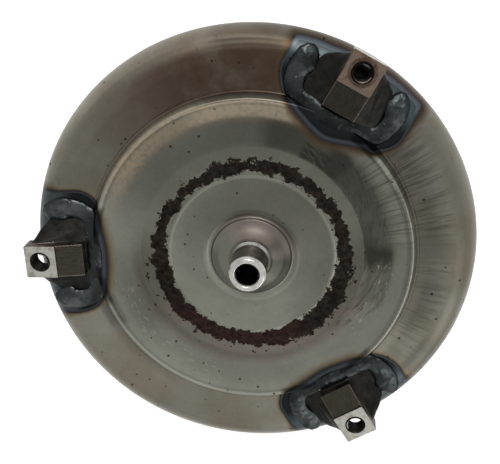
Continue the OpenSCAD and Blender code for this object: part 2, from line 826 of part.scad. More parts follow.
module needle_cage(z) {
    half = 0.4;
    pocket = [needle_len + 0.4, 2 * needle_r + 0.2];
    difference() {
        ring(bearing_r[0] + 0.7, bearing_r[1] - 0.8, z - half, z + half);
        for (i = [0:needle_count - 1])
            rotate([0, 0, 360 * i / needle_count])
                translate([needle_from_r - 0.2, -pocket[1] / 2, z - 1]) cube([pocket[0], pocket[1], 2]);
    }
}

module needles(z) {
    for (i = [0:needle_count - 1])
        rotate([0, 0, 360 * i / needle_count])
            translate([needle_from_r, 0, z])
                rotate([0, 90, 0]) cylinder(r = needle_r, h = needle_len, $fn = 24);
}

module front_bearing_cage() {
    color("peru") needle_cage(front_needle_z);
}

module front_bearing_rollers() {
    color("gainsboro") needles(front_needle_z);
}

module rear_bearing_cage() {
    color("peru") needle_cage(rear_needle_z);
}

module rear_bearing_rollers() {
    color("gainsboro") needles(rear_needle_z);
}

front_cover();
pilot();
drive_lug_1();
drive_lug_2();
drive_lug_3();
lug_weld_1();
lug_weld_2();
lug_weld_3();
seam_weld();
impeller_shell();
impeller_blades();
impeller_core_ring();
pump_hub();
hub_weld();
rear_bearing_lower_race();
turbine_shell();
turbine_blades();
turbine_core_ring();
turbine_hub();
turbine_rivets();
driven_plate();
piston_seal();
thrust_washer();
front_bearing_upper_race();
spring_retainer();
damper_springs();
lockup_piston();
friction_lining();
stator_wheel();
clutch_outer_race();
clutch_rollers();
clutch_springs();
clutch_front_plate();
clutch_rear_plate();
stator_snap_ring();
front_bearing_lower_race();
rear_bearing_upper_race();
clutch_inner_race();
front_bearing_cage();
front_bearing_rollers();
rear_bearing_cage();
rear_bearing_rollers();
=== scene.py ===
# Torque converter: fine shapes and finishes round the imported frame, in metres, +Z towards the engine.
import json
import math
import bmesh
import bpy
from mathutils import Matrix, Vector


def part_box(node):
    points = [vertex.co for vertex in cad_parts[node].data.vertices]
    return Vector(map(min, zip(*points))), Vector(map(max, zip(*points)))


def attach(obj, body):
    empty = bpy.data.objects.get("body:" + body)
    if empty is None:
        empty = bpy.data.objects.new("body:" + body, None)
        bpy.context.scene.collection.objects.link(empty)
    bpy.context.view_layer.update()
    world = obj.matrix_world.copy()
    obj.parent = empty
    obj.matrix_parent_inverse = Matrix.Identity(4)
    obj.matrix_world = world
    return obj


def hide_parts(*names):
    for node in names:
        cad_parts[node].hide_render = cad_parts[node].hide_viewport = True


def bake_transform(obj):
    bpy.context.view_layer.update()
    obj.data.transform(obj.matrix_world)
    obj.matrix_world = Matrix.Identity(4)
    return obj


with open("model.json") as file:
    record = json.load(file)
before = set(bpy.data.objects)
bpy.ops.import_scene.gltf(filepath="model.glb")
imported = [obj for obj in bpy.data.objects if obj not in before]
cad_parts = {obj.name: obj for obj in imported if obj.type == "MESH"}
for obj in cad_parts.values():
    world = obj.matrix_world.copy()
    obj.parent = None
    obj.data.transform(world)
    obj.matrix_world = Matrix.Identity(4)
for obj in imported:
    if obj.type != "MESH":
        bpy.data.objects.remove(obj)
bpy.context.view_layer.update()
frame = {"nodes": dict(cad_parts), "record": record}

# Sizes in millimetres, from the frame where it holds them
MM = 0.001
BOSS_RISE = 5.3
COVER_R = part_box("front_cover")[1][0] / MM
SKIRT_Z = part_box("front_cover")[0][2] / MM
FACE_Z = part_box("front_cover")[1][2] / MM - BOSS_RISE
PILOT_TIP_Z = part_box("pilot")[1][2] / MM
PAD_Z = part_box("drive_lug_1")[1][2] / MM
COVER_SKIN = 4.5
DISH_START_R = 62
DISH_RADIUS = 109.5
DISH_ANGLE = 13.13
CREST_R = 87.2
CREST_FILLET = 1.4
CREST_RISE = 2.9
WALL_LEAN = 30
FOOT_R = 91.65
FOOT_FILLET = 1.4
RING_DROP = 2.0
RIM_FILLET = 13.0
SKIRT_TAPER = 1.2
OVERHANG_Z = FACE_Z + 0.7
LUG_COUNT = 3
LUG_SPACING = 360 / LUG_COUNT
FIRST_LUG = 90.0
BOLT_R = 116.75
SPRING_COUNT = 6
SAME_POINT = 0.002 * MM


# Modelling by hand: small helpers round the operators
def deselect():
    bpy.ops.object.select_all(action="DESELECT")


def only(obj):
    """Selects one object and makes it active."""
    deselect()
    obj.select_set(True)
    bpy.context.view_layer.objects.active = obj


def edit(obj):
    only(obj)
    bpy.ops.object.mode_set(mode="EDIT")


def end_edit():
    bpy.ops.object.mode_set(mode="OBJECT")


def settle():
    """Turns an object's move, turn and size into places of its points."""
    bpy.ops.object.transform_apply(location=True, rotation=True, scale=True)


def select_all():
    bpy.ops.mesh.select_all(action="SELECT")


def pick(obj, rule, kind="verts"):
    """In edit mode, selects the vertices, edges or faces for which rule is true; places are in metres."""
    mesh = bmesh.from_edit_mesh(obj.data)
    modes = {"verts": (True, False, False), "edges": (False, True, False), "faces": (False, False, True)}
    bpy.context.tool_settings.mesh_select_mode = modes[kind]
    bpy.ops.mesh.select_all(action="DESELECT")
    for item in getattr(mesh, kind):
        item.select_set(bool(rule(item)))
    mesh.select_flush_mode()
    bmesh.update_edit_mesh(obj.data)


def modify(obj, kind, **settings):
    """Adds a modifier, sets it up and applies it."""
    only(obj)
    modifier = obj.modifiers.new(kind.title(), kind)
    for key, value in settings.items():
        setattr(modifier, key, value)
    bpy.ops.object.modifier_apply(modifier=modifier.name)


def cut(obj, cutter, operation="DIFFERENCE"):
    """Boolean with another object, which is used up."""
    modify(obj, "BOOLEAN", operation=operation, solver="EXACT", object=cutter)
    bpy.data.objects.remove(cutter)


def block(name, low, high):
    """A box between two corners in mm, to be shaped further."""
    size = [(b - a) * MM for a, b in zip(low, high)]
    middle = [(a + b) / 2 * MM for a, b in zip(low, high)]
    deselect()
    bpy.ops.mesh.primitive_cube_add(size=1, location=middle, scale=size)
    settle()
    bpy.context.object.name = name
    return bpy.context.object


def drawn_line(name, start, moves):
    """A line in the plane of the axis, from (radius, height) by steps in mm. It is left selected, in edit mode."""
    deselect()
    bpy.ops.mesh.primitive_plane_add(size=MM, location=(start[0] * MM, 0, start[1] * MM))
    settle()
    line = bpy.context.object
    line.name = name
    bpy.ops.object.mode_set(mode="EDIT")
    bpy.ops.mesh.merge(type="CENTER")
    for dr, dz in moves:
        bpy.ops.mesh.extrude_region_move(TRANSFORM_OT_translate={"value": (dr * MM, 0, dz * MM)})
    select_all()
    return line


def lathe(name, outline, steps):
    """Spins an outline of (radius, height) points in mm round the axis. A closed outline repeats its start."""
    obj = drawn_line(name, outline[0], [(r1 - r0, z1 - z0) for (r0, z0), (r1, z1) in zip(outline, outline[1:])])
    bpy.ops.mesh.spin(steps=steps, angle=math.tau, center=(0, 0, 0), axis=(0, 0, 1), use_auto_merge=True)
    select_all()
    bpy.ops.mesh.remove_doubles(threshold=SAME_POINT)
    bpy.ops.mesh.normals_make_consistent(inside=False)
    end_edit()
    return obj


def path(points):
    """An open path through points (x, y, z) in mm, to be given a section."""
    deselect()
    bpy.ops.curve.primitive_nurbs_path_add()
    line = bpy.context.object
    line.data.splines.clear()
    spline = line.data.splines.new("POLY")
    spline.points.add(len(points) - 1)
    for point, (x, y, z) in zip(spline.points, points):
        point.co = (x * MM, y * MM, z * MM, 1)
    line.data.use_fill_caps = True
    return line


def as_mesh(line):
    only(line)
    bpy.ops.object.convert(target="MESH")
    return bpy.context.object


def arc(centre, radius, start, end, count):
    """Points of an arc in mm, angles in degrees."""
    return oval(centre, radius, radius, start, end, count)


def oval(centre, a, b, start, end, count):
    """Points of an oval arc with half-axes a and b."""
    turns = [math.radians(start + (end - start) * i / count) for i in range(count + 1)]
    return [(centre[0] + a * math.cos(t), centre[1] + b * math.sin(t)) for t in turns]


def smooth(obj, angle=35):
    only(obj)
    bpy.ops.object.shade_smooth_by_angle(angle=math.radians(angle))


def turned_copies(obj, count, name):
    """Copies of a piece round the axis, each with its own mesh; the first is the piece itself."""
    copies = [obj]
    for i in range(1, count):
        only(obj)
        bpy.ops.object.duplicate()
        bpy.ops.transform.rotate(value=-math.tau * i / count, orient_axis="Z", center_override=(0, 0, 0))
        settle()
        copies.append(bpy.context.object)
    for i, piece in enumerate(copies):
        piece.name = f"{name}_{i + 1}"
    return copies


def roughen(obj, name, size, depth, level=0.5):
    """Lumps of about size mm, depth mm from lowest to highest; level is the share of them that lies inward."""
    texture = bpy.data.textures.new(name, "CLOUDS")
    texture.noise_scale = size * MM
    texture.noise_depth = 2
    modify(obj, "DISPLACE", texture=texture, texture_coords="GLOBAL", strength=depth * MM, mid_level=level)


def coat(piece, material):
    piece.data.materials.clear()
    piece.data.materials.append(material)


def finished(piece, body, slot, material, *nodes):
    """Gives a piece its body and material, and hides the nodes that it stands for; slot is not used."""
    coat(piece, material)
    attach(piece, body)
    if nodes:
        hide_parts(*nodes)


# Procedural finishes: a small builder round the shader nodes
class Finish:
    """A material on Object coordinates, in millimetres, with polar helpers round the part's axis."""

    def __init__(self, name, **constants):
        self.material = bpy.data.materials.new(name)
        self.material.use_nodes = True
        self.tree = self.material.node_tree
        self.shader = self.tree.nodes["Principled BSDF"]
        self.fill(self.shader, **constants)
        place = self.node("ShaderNodeTexCoord").outputs["Object"]
        self.place = self.vector_math("SCALE", place, scale=1 / MM)
        self.x, self.y, self.z = self.node("ShaderNodeSeparateXYZ", [self.place]).outputs

    def node(self, kind, values=(), **settings):
        node = self.tree.nodes.new(kind)
        for key, value in settings.items():
            setattr(node, key, value)
        for socket, value in zip(node.inputs, values):
            self.put(socket, value)
        return node

    def put(self, socket, value):
        if isinstance(value, bpy.types.NodeSocket):
            self.tree.links.new(value, socket)
        elif value is not None:
            socket.default_value = value

    def fill(self, node, **sockets):
        """Sets or links a node's inputs by name."""
        for key, value in sockets.items():
            self.put(node.inputs[key.replace("_", " ").title()], value)
        return node

    def math(self, operation, *values):
        return self.node("ShaderNodeMath", values, operation=operation).outputs[0]

    def vector_math(self, operation, *values, scale=None):
        node = self.node("ShaderNodeVectorMath", values, operation=operation)
        if scale is not None:
            self.fill(node, scale=scale)
        return node.outputs["Value" if operation == "LENGTH" else "Vector"]

    def vector(self, x=0.0, y=0.0, z=0.0):
        return self.node("ShaderNodeCombineXYZ", [x, y, z]).outputs[0]

    def ease(self, value, low, high):
        """0 at low, 1 at high, smooth between."""
        node = self.node("ShaderNodeMapRange", [value, low, high], interpolation_type="SMOOTHSTEP")
        return node.outputs[0]

    def fold(self, operation, total, *rest):
        for value in rest:
            total = self.math(operation, total, value)
        return total

    def both(self, *values):
        """The product of several masks or numbers."""
        return self.fold("MULTIPLY", *values)

    def plus(self, *values):
        return self.fold("ADD", *values)

    def most(self, *values):
        """The largest of several masks or numbers."""
        return self.fold("MAXIMUM", *values)

    def minus(self, value, other):
        return self.math("SUBTRACT", value, other)

    def over(self, value, size):
        return self.math("DIVIDE", value, size)

    def invert(self, mask):
        return self.math("SUBTRACT", 1.0, mask)

    def noise(self, size, detail=3.0, rough=0.55, place=None):
        """Noise from 0 to 1 with features of about size mm."""
        vector = self.vector_math("SCALE", self.place if place is None else place, scale=1 / size)
        node = self.node("ShaderNodeTexNoise")
        return self.fill(node, vector=vector, scale=1.0, detail=detail, roughness=rough).outputs["Fac"]

    def cells(self, size, place):
        """Distance to the nearest of many scattered points, in cells of about size mm, and that cell's number."""
        node = self.node("ShaderNodeTexVoronoi", voronoi_dimensions="2D")
        self.fill(node, vector=self.vector_math("SCALE", place, scale=1 / size), scale=1.0)
        number = self.node("ShaderNodeSeparateColor", [node.outputs["Color"]]).outputs[0]
        return node.outputs["Distance"], number

    def mix(self, factor, a, b):
        node = self.node("ShaderNodeMix", data_type="RGBA")
        self.put(node.inputs[0], factor)
        self.put(node.inputs[6], a)
        self.put(node.inputs[7], b)
        return node.outputs[2]

    def shade(self, colour, amount):
        """Multiplies a colour by a number."""
        return self.vector_math("SCALE", colour, scale=amount)

    def between(self, value, low, high):
        """Maps 0..1 to low..high."""
        return self.node("ShaderNodeMapRange", [value, 0.0, 1.0, low, high]).outputs[0]

    def ramp(self, value, stops):
        """A colour ramp of (position, colour with alpha)."""
        node = self.node("ShaderNodeValToRGB", [value])
        elements = node.color_ramp.elements
        while len(elements) < len(stops):
            elements.new(0.5)
        for element, (position, colour) in zip(elements, stops):
            element.position = position
            element.color = colour
        return node.outputs["Color"], node.outputs["Alpha"]

    def radius(self):
        """Distance from the axis in mm."""
        return self.vector_math("LENGTH", self.vector(self.x, self.y))

    def turn(self):
        """Angle round the axis in degrees."""
        return self.math("DEGREES", self.math("ARCTAN2", self.y, self.x))

    def beside_lug(self):
        """Distance to the side of the nearest lug's middle line, and along that line, in mm."""
        angle = self.minus(self.turn(), FIRST_LUG)
        local = self.math("RADIANS", self.math("WRAP", angle, LUG_SPACING / 2, -LUG_SPACING / 2))
        r = self.radius()
        return self.both(r, self.math("SINE", local)), self.both(r, self.math("COSINE", local))

    def upward(self):
        """How far the surface faces up, from -1 to 1."""
        normal = self.node("ShaderNodeNewGeometry").outputs["Normal"]
        return self.node("ShaderNodeSeparateXYZ", [normal]).outputs[2]

    def spoke(self):
        """Unit direction away from the axis."""
        return self.vector_math("NORMALIZE", self.vector(self.x, self.y))

    def band(self, value, low, high, soft):
        """1 between low and high, fading over soft."""
        rise = self.ease(value, low - soft, low)
        fall = self.invert(self.ease(value, high, high + soft))
        return self.both(rise, fall)

    def sector(self, turn, centre, half, soft):
        """1 within half degrees of centre, fading over soft."""
        away = self.math("WRAP", self.minus(turn, centre), 180.0, -180.0)
        return self.invert(self.ease(self.math("ABSOLUTE", away), half, half + soft))

    def relief(self, height, depth):
        """Bump of the given depth in mm."""
        bump = self.fill(self.node("ShaderNodeBump"), strength=1.0, distance=depth * MM, height=height)
        self.fill(self.shader, normal=bump.outputs[0])

    def done(self, **sockets):
        self.fill(self.shader, **sockets)
        return self.material


def rgb(r, g, b, a=1.0):
    return (r, g, b, a)


# Bare pressed steel of the cover: satin, with rust, heat tints, brushing and scuffs
def cover_finish():
    f = Finish("cover_steel_finish", metallic=1.0)
    r, turn, spoke = f.radius(), f.turn(), f.spoke()
    fine = f.noise(2.2, 5, 0.65)
    colour = cover_base(f, r, turn, fine)
    colour, scuff = cover_scuffs(f, r, turn, fine, colour)
    rings = f.noise(1.0, 2, 0.6, place=f.vector(f.over(r, 0.35), 0.0, f.over(turn, 70.0)))
    lines, drawn_side = cover_lines(f, r, turn, spoke)
    tone = f.plus(f.between(rings, 0.93, 1.07), f.both(drawn_side, f.between(lines, 0.28, -0.42)))
    colour = f.shade(colour, f.both(tone, f.between(fine, 0.86, 1.14)))
    colour = lug_temper(f, r, colour)
    rust, rust_colour = cover_rust(f, r, turn, fine)
    colour = f.mix(rust, colour, rust_colour)
    dull = f.most(rust, f.both(scuff, 0.4))
    roughness = f.plus(f.between(fine, 0.36, 0.46), f.both(dull, 0.35))
    height = f.plus(f.both(fine, 0.35), f.both(rust, f.between(fine, 0.6, 3.0)))
    height = f.plus(height, f.both(drawn_side, f.between(lines, 0.0, -0.8)))
    f.relief(f.plus(height, f.both(rings, 0.25)), 0.05)
    return f.done(base_color=colour, roughness=roughness)


def cover_base(f, r, turn, fine):
    """Grey-green steel, browner outside the crest, lighter on the crest and rim edges from wear and painted
    highlight, with painted shade on one side and in the creases by the crest.
    """
    cloud = f.noise(38, 4)
    colour = f.mix(f.ease(cloud, 0.3, 0.7), rgb(0.118, 0.12, 0.099), rgb(0.142, 0.144, 0.12))
    outer = f.ease(r, 88.5, 91)
    ring = f.mix(f.ease(cloud, 0.35, 0.65), rgb(0.103, 0.094, 0.071), rgb(0.126, 0.121, 0.099))
    colour = f.mix(outer, colour, ring)
    brown = f.both(f.sector(turn, 118, 16, 46), outer, f.between(f.ease(f.noise(22, 5, 0.6), 0.25, 0.6), 0.45, 1.0))
    brown = f.both(brown, f.between(f.ease(r, 110, 118), 1.0, 0.5))
    colour = f.mix(brown, colour, rgb(0.051, 0.033, 0.023))
    straw = f.both(f.sector(turn, 135, 32, 30), f.band(r, 79, 86.5, 5), f.ease(fine, 0.2, 0.62))
    colour = f.mix(f.both(straw, 0.65), colour, rgb(0.22, 0.17, 0.115))
    bloom = f.both(f.sector(turn, 300, 70, 30), f.band(r, 54, 64, 6), f.ease(f.noise(7, 3), 0.3, 0.6))
    boss = f.both(f.sector(turn, 95, 40, 45), f.band(r, 12, 23.5, 2))
    colour = f.mix(f.both(f.most(bloom, boss), 0.5), colour, rgb(0.15, 0.113, 0.103))
    # Painted light and shade: the side towards 95 degrees is painted darker and the opposite side lighter, most of
    # all on the climb to the crest
    lean = f.math("COSINE", f.math("RADIANS", f.minus(turn, 282.0)))
    climb = f.band(r, 66, 85, 6)
    painted_side_light = f.both(lean, f.ease(r, 8, 40), f.plus(0.19, f.both(climb, 0.12)))
    # Painted highlight along the crest line; the rim edge is lighter from wear and painted highlight
    crest = f.both(f.band(r, 86.6, 88.2, 0.9), 0.5)
    # Painted shade: a dark line just inside the crest and another in the crease at the foot of its wall
    painted_line_shade = f.plus(f.both(f.band(r, 85.0, 85.9, 0.7), -0.2), f.both(f.band(r, 90.9, 91.6, 0.5), -0.25))
    worn = f.most(f.both(f.ease(r, 113, 121), 0.5), crest)
    # Painted highlight on the fine raised ring line at about 45.7 mm
    ring_line_highlight = f.both(f.band(r, 45.0, 46.4, 0.5), f.sector(turn, 112, 105, 12), 0.3)
    extra = f.plus(f.most(worn, ring_line_highlight), painted_line_shade)
    total = f.plus(1.0, painted_side_light, extra, cover_tones(f, r, turn))
    return f.shade(colour, f.most(total, 0.2))


def cover_tones(f, r, turn):
    """Uneven tone, as a sum of patches of real wear, painted shade and painted highlight: (centre, half, soft) in
    degrees, (low, soft, high, soft) in mm, gain.
    """
    patches = [
        ((54, 22, 12), (62.3, 0.7, 73, 10), -0.42), ((136, 40, 24), (62.3, 0.7, 76, 5), -0.2),
        ((117, 16, 16), (80, 3, 86, 1.5), 0.4), ((300, 85, 30), (55, 2, 62, 8), -0.34),
        ((110, 110, 40), (55, 2, 61.4, 0.8), -0.14), ((100, 95, 40), (24, 2, 46, 3), -0.16),
        ((15, 36, 14), (86.3, 0.5, 87.5, 0.4), -0.65), ((4, 38, 12), (88.0, 0.5, 90.5, 0.6), 0.8),
        ((165, 22, 15), (88.5, 0.4, 90.7, 0.5), 0.9), ((272, 36, 15), (88.5, 0.4, 91.2, 0.5), 0.35),
        ((118, 12, 12), (87.3, 0.4, 88.4, 0.4), -0.6), ((46, 34, 22), (91.8, 0.8, 97, 18), -0.4),
        ((0, 16, 14), (98, 4, 118, 5), -0.14), ((248, 12, 16), (98, 6, 118, 5), 0.3),
        ((145, 20, 16), (119, 2, 123, 2), 0.5), ((113, 12, 10), (114.5, 1.5, 117, 1.5), -0.45),
        ((155, 22, 14), (109, 4, 117, 2), 0.12), ((95, 35, 25), (12, 1, 26.5, 1.5), -0.2),
        ((300, 85, 30), (23.9, 0.5, 26.4, 1.0), 0.26), ((285, 60, 30), (62, 2, 72, 8), -0.1),
        ((228, 14, 10), (66, 4, 86, 2), -0.16), ((345, 34, 26), (11.5, 0.8, 21.5, 1.5), -0.42),
        ((300, 90, 25), (19.0, 2.0, 21.9, 0.5), -0.32), ((117, 9, 6), (117, 1.5, 123, 3), -0.25),
        ((232, 5, 5), (84, 3, 94, 3), -0.36), ((350, 9, 7), (110, 4, 121, 3), -0.28),
        ((20, 10, 8), (66, 3, 76, 3), -0.3), ((30, 30, 20), (11.5, 0.8, 17, 3), -0.2),
        ((94, 14, 10), (64, 3, 76, 4), -0.22), ((270, 40, 25), (64, 3, 78, 5), -0.16)]
    total = 0.0
    for angles, (low, rise, high, fall), gain in patches:
        inner = f.ease(r, low - rise, low)
        outer = f.invert(f.ease(r, high, high + fall))
        total = f.plus(total, f.both(f.sector(turn, *angles), inner, outer, gain))
    return total


def cover_scuffs(f, r, turn, fine, colour):
    """Black smears and pale scratches on the climb to the crest, running nearly round the axis."""
    slant = f.minus(r, f.both(turn, 0.33))
    streak = f.noise(1.0, 4, 0.65, place=f.vector(f.over(slant, 1.8), f.over(turn, 8.0)))
    smear = f.both(f.sector(turn, 88, 5, 4), f.band(r, 63.5, 70, 2.5), f.ease(streak, 0.38, 0.54), 0.95)
    rub = f.both(f.sector(turn, 40, 34, 12), f.band(r, 63, 75, 3), f.ease(streak, 0.46, 0.66), 0.5)
    blot = f.both(f.sector(turn, 0, 9, 7), f.band(r, 63, 69, 3), f.ease(streak, 0.5, 0.62), 0.6)
    scuff = f.most(smear, rub, blot)
    colour = f.mix(scuff, colour, f.mix(fine, rgb(0.009, 0.009, 0.007), rgb(0.03, 0.03, 0.025)))
    swept = f.noise(1.0, 3, 0.6, place=f.vector(f.over(r, 1.1), f.over(turn, 4.0), 7.0))
    right = f.both(f.sector(turn, 8, 15, 8), f.band(r, 69, 77, 2))
    low = f.both(f.sector(turn, 255, 28, 10), f.band(r, 71, 79, 2))
    pale = f.both(f.most(right, low), f.ease(swept, 0.57, 0.68), 0.65)
    return f.mix(pale, colour, rgb(0.23, 0.225, 0.185)), scuff


def cover_lines(f, r, turn, spoke):
    """Radial brush lines on one side, as a line mask and the stretch that carries it."""
    ring = f.most(f.sector(turn, 58, 14, 14), f.both(f.sector(turn, 12, 12, 10), 0.6))
    ring = f.both(ring, f.band(r, 91, 106, 9))
    side = f.most(ring, f.both(f.sector(turn, 54, 14, 9), f.band(r, 77, 87, 6)))
    away = f.vector(0.0, 0.0, f.over(r, 22.0))
    coarse = f.noise(1.0, 2, 0.6, place=f.vector_math("ADD", f.vector_math("SCALE", spoke, scale=75.0), away))
    groups = f.noise(1.0, 1, 0.5, place=f.vector_math("SCALE", spoke, scale=14.0))
    return f.both(f.ease(coarse, 0.4, 0.66), f.between(groups, 0.4, 1.0)), side


def lug_temper(f, r, colour):
    """Temper colours round each welded lug, from straw outside to blue-black at the bead, with painted shade and
    painted highlight.
    """
    offset, along = f.beside_lug()
    side = f.math("ABSOLUTE", offset)
    half, inner, outer = 37.5, 82.6, 121.6
    corner = f.between(f.ease(offset, -5, 5), 14.0, 22.0)
    # The first lug's zone bulges further down the dish and is browner
    first = f.ease(f.y, 55, 65)
    bulge = f.both(f.invert(f.ease(side, 0, 25)), f.between(first, 1.6, 6.6))
    across = f.most(f.plus(f.minus(side, half), corner), 0.0)
    inward = f.minus(f.plus(corner, inner), f.plus(along, bulge))
    inward = f.most(inward, 0.0)
    reach = f.minus(f.vector_math("LENGTH", f.vector(across, inward)), corner)
    reach = f.math("SMOOTH_MAX", reach, f.minus(r, outer), 3.0)
    reach = f.plus(reach, f.between(f.noise(16, 2), -0.9, 0.9))
    # On the flat of the ring the bands are narrow and dull, on the dish and the rim wide and bright
    narrow = f.both(f.ease(side, 21, 28), f.invert(f.ease(r, 111, 117)))
    reach = f.both(reach, f.between(narrow, 1.0, 2.2))
    tint, share = f.ramp(f.over(f.plus(reach, 6.0), 16.0), [
        (0.0, rgb(0.011, 0.013, 0.014)), (0.14, rgb(0.008, 0.009, 0.010)),
        (0.225, rgb(0.036, 0.043, 0.048)), (0.29, rgb(0.028, 0.032, 0.036)),
        (0.35, rgb(0.016, 0.016, 0.018)), (0.425, rgb(0.045, 0.034, 0.02, 0.95)),
        (0.52, rgb(0.09, 0.07, 0.038, 0.7)), (0.72, rgb(0.125, 0.1, 0.06, 0.0))])
    inside = f.invert(f.ease(reach, -1.0, 0.0))
    # Painted highlight: the tint is brightened towards the rim, most above the first lug
    rim = f.both(f.ease(r, 114, 119), inside)
    dimmed = f.invert(f.both(narrow, inside, 0.15))
    tint = f.shade(tint, f.plus(dimmed, f.both(rim, f.between(first, 0.5, 1.2))))
    slate = f.both(f.ease(r, 103, 115), f.invert(f.ease(reach, -3.4, -2.4)))
    # Painted shadow: near-black under the tower's overhang at the rim
    wing_shadow = f.both(f.invert(f.ease(side, 8, 11)), f.ease(along, 102, 106))
    tint = f.mix(slate, tint, f.mix(wing_shadow, rgb(0.042, 0.052, 0.054), rgb(0.006, 0.006, 0.006)))
    edge = f.both(first, f.ease(reach, -0.6, 0.6), 0.75)
    tint = f.mix(edge, tint, rgb(0.035, 0.021, 0.012))
    # Painted shade on the crest beside the lug, but not on one side of the first
    unshaded = f.both(first, f.ease(offset, 5, 12))
    crest_shade = f.both(f.band(side, 15, 26, 5), f.band(r, 85.6, 88.6, 2.2), f.invert(unshaded))
    return f.shade(f.mix(share, colour, tint), f.between(crest_shade, 1.0, 0.4))


def cover_rust(f, r, turn, fine):
    """A crusted ring with clumps on its outer side, and scattered specks."""
    field = f.plus(f.both(f.noise(7, 3, 0.6), 0.8), f.both(f.noise(1.7, 3, 0.7), 0.4))
    off = f.minus(r, f.plus(51.0, f.between(f.noise(24, 2), -1.2, 1.2)))
    loose = f.sector(turn, 295, 78, 22)
    fall = f.most(f.both(off, 0.062), f.both(off, -0.078))
    level = f.minus(f.plus(field, f.plus(0.18, f.both(loose, 0.08))), fall)
    rust = f.ease(level, 0.5, 0.55)
    clumps = f.both(f.ease(f.noise(4.2, 3, 0.6), 0.6, 0.64), f.band(r, 56.5, 60.5, 1.0), loose)
    rust = f.most(rust, clumps)
    distance, number = f.cells(11.0, f.vector(f.x, f.y))
    size = f.between(number, 0.0, 0.075)
    dots = f.invert(f.ease(f.minus(distance, size), -0.015, 0.015))
    dots = f.both(dots, f.ease(number, 0.45, 0.5), f.ease(f.noise(30, 2), 0.42, 0.56), f.ease(r, 24, 27))
    rust = f.most(rust, f.both(dots, 0.85))
    crust = f.mix(f.ease(f.noise(3, 4, 0.7), 0.35, 0.7), rgb(0.008, 0.007, 0.006), rgb(0.026, 0.021, 0.017))
    brown = f.mix(f.ease(fine, 0.3, 0.7), rgb(0.010, 0.007, 0.0065), rgb(0.036, 0.021, 0.018))
    return rust, f.mix(f.sector(turn, 288, 30, 25), crust, brown)


# Turned bright steel of the pilot and the pump hub, with painted shade inside the bore
def turned_finish(name, light, dark, bore_r, bore_top, dull=None):
    """dull is a stretch of heights that is painted darker, a painted dark reflection."""
    f = Finish(name, metallic=1.0)
    r = f.radius()
    grooves = f.noise(1.0, 2, 0.6, place=f.vector(f.over(r, 0.25), 0.0, f.over(f.z, 0.22)))
    stain = f.noise(6, 4, 0.6)
    colour = f.mix(f.ease(stain, 0.35, 0.75), light, dark)
    colour = f.shade(colour, f.between(grooves, 0.88, 1.1))
    if dull:
        colour = f.shade(colour, f.between(f.band(f.z, dull[0], dull[1], 0.5), 1.0, 0.5))
    # Painted shade: near-black inside the bore
    inside = f.invert(f.ease(r, bore_r + 0.05, bore_r + 0.25))
    inside = f.both(inside, f.invert(f.ease(f.z, bore_top - 1.2, bore_top - 0.5)))
    colour = f.mix(inside, colour, rgb(0.004, 0.004, 0.004))
    f.relief(grooves, 0.012)
    roughness = f.plus(f.between(stain, 0.16, 0.3), f.both(inside, 0.5))
    return f.done(base_color=colour, roughness=roughness)


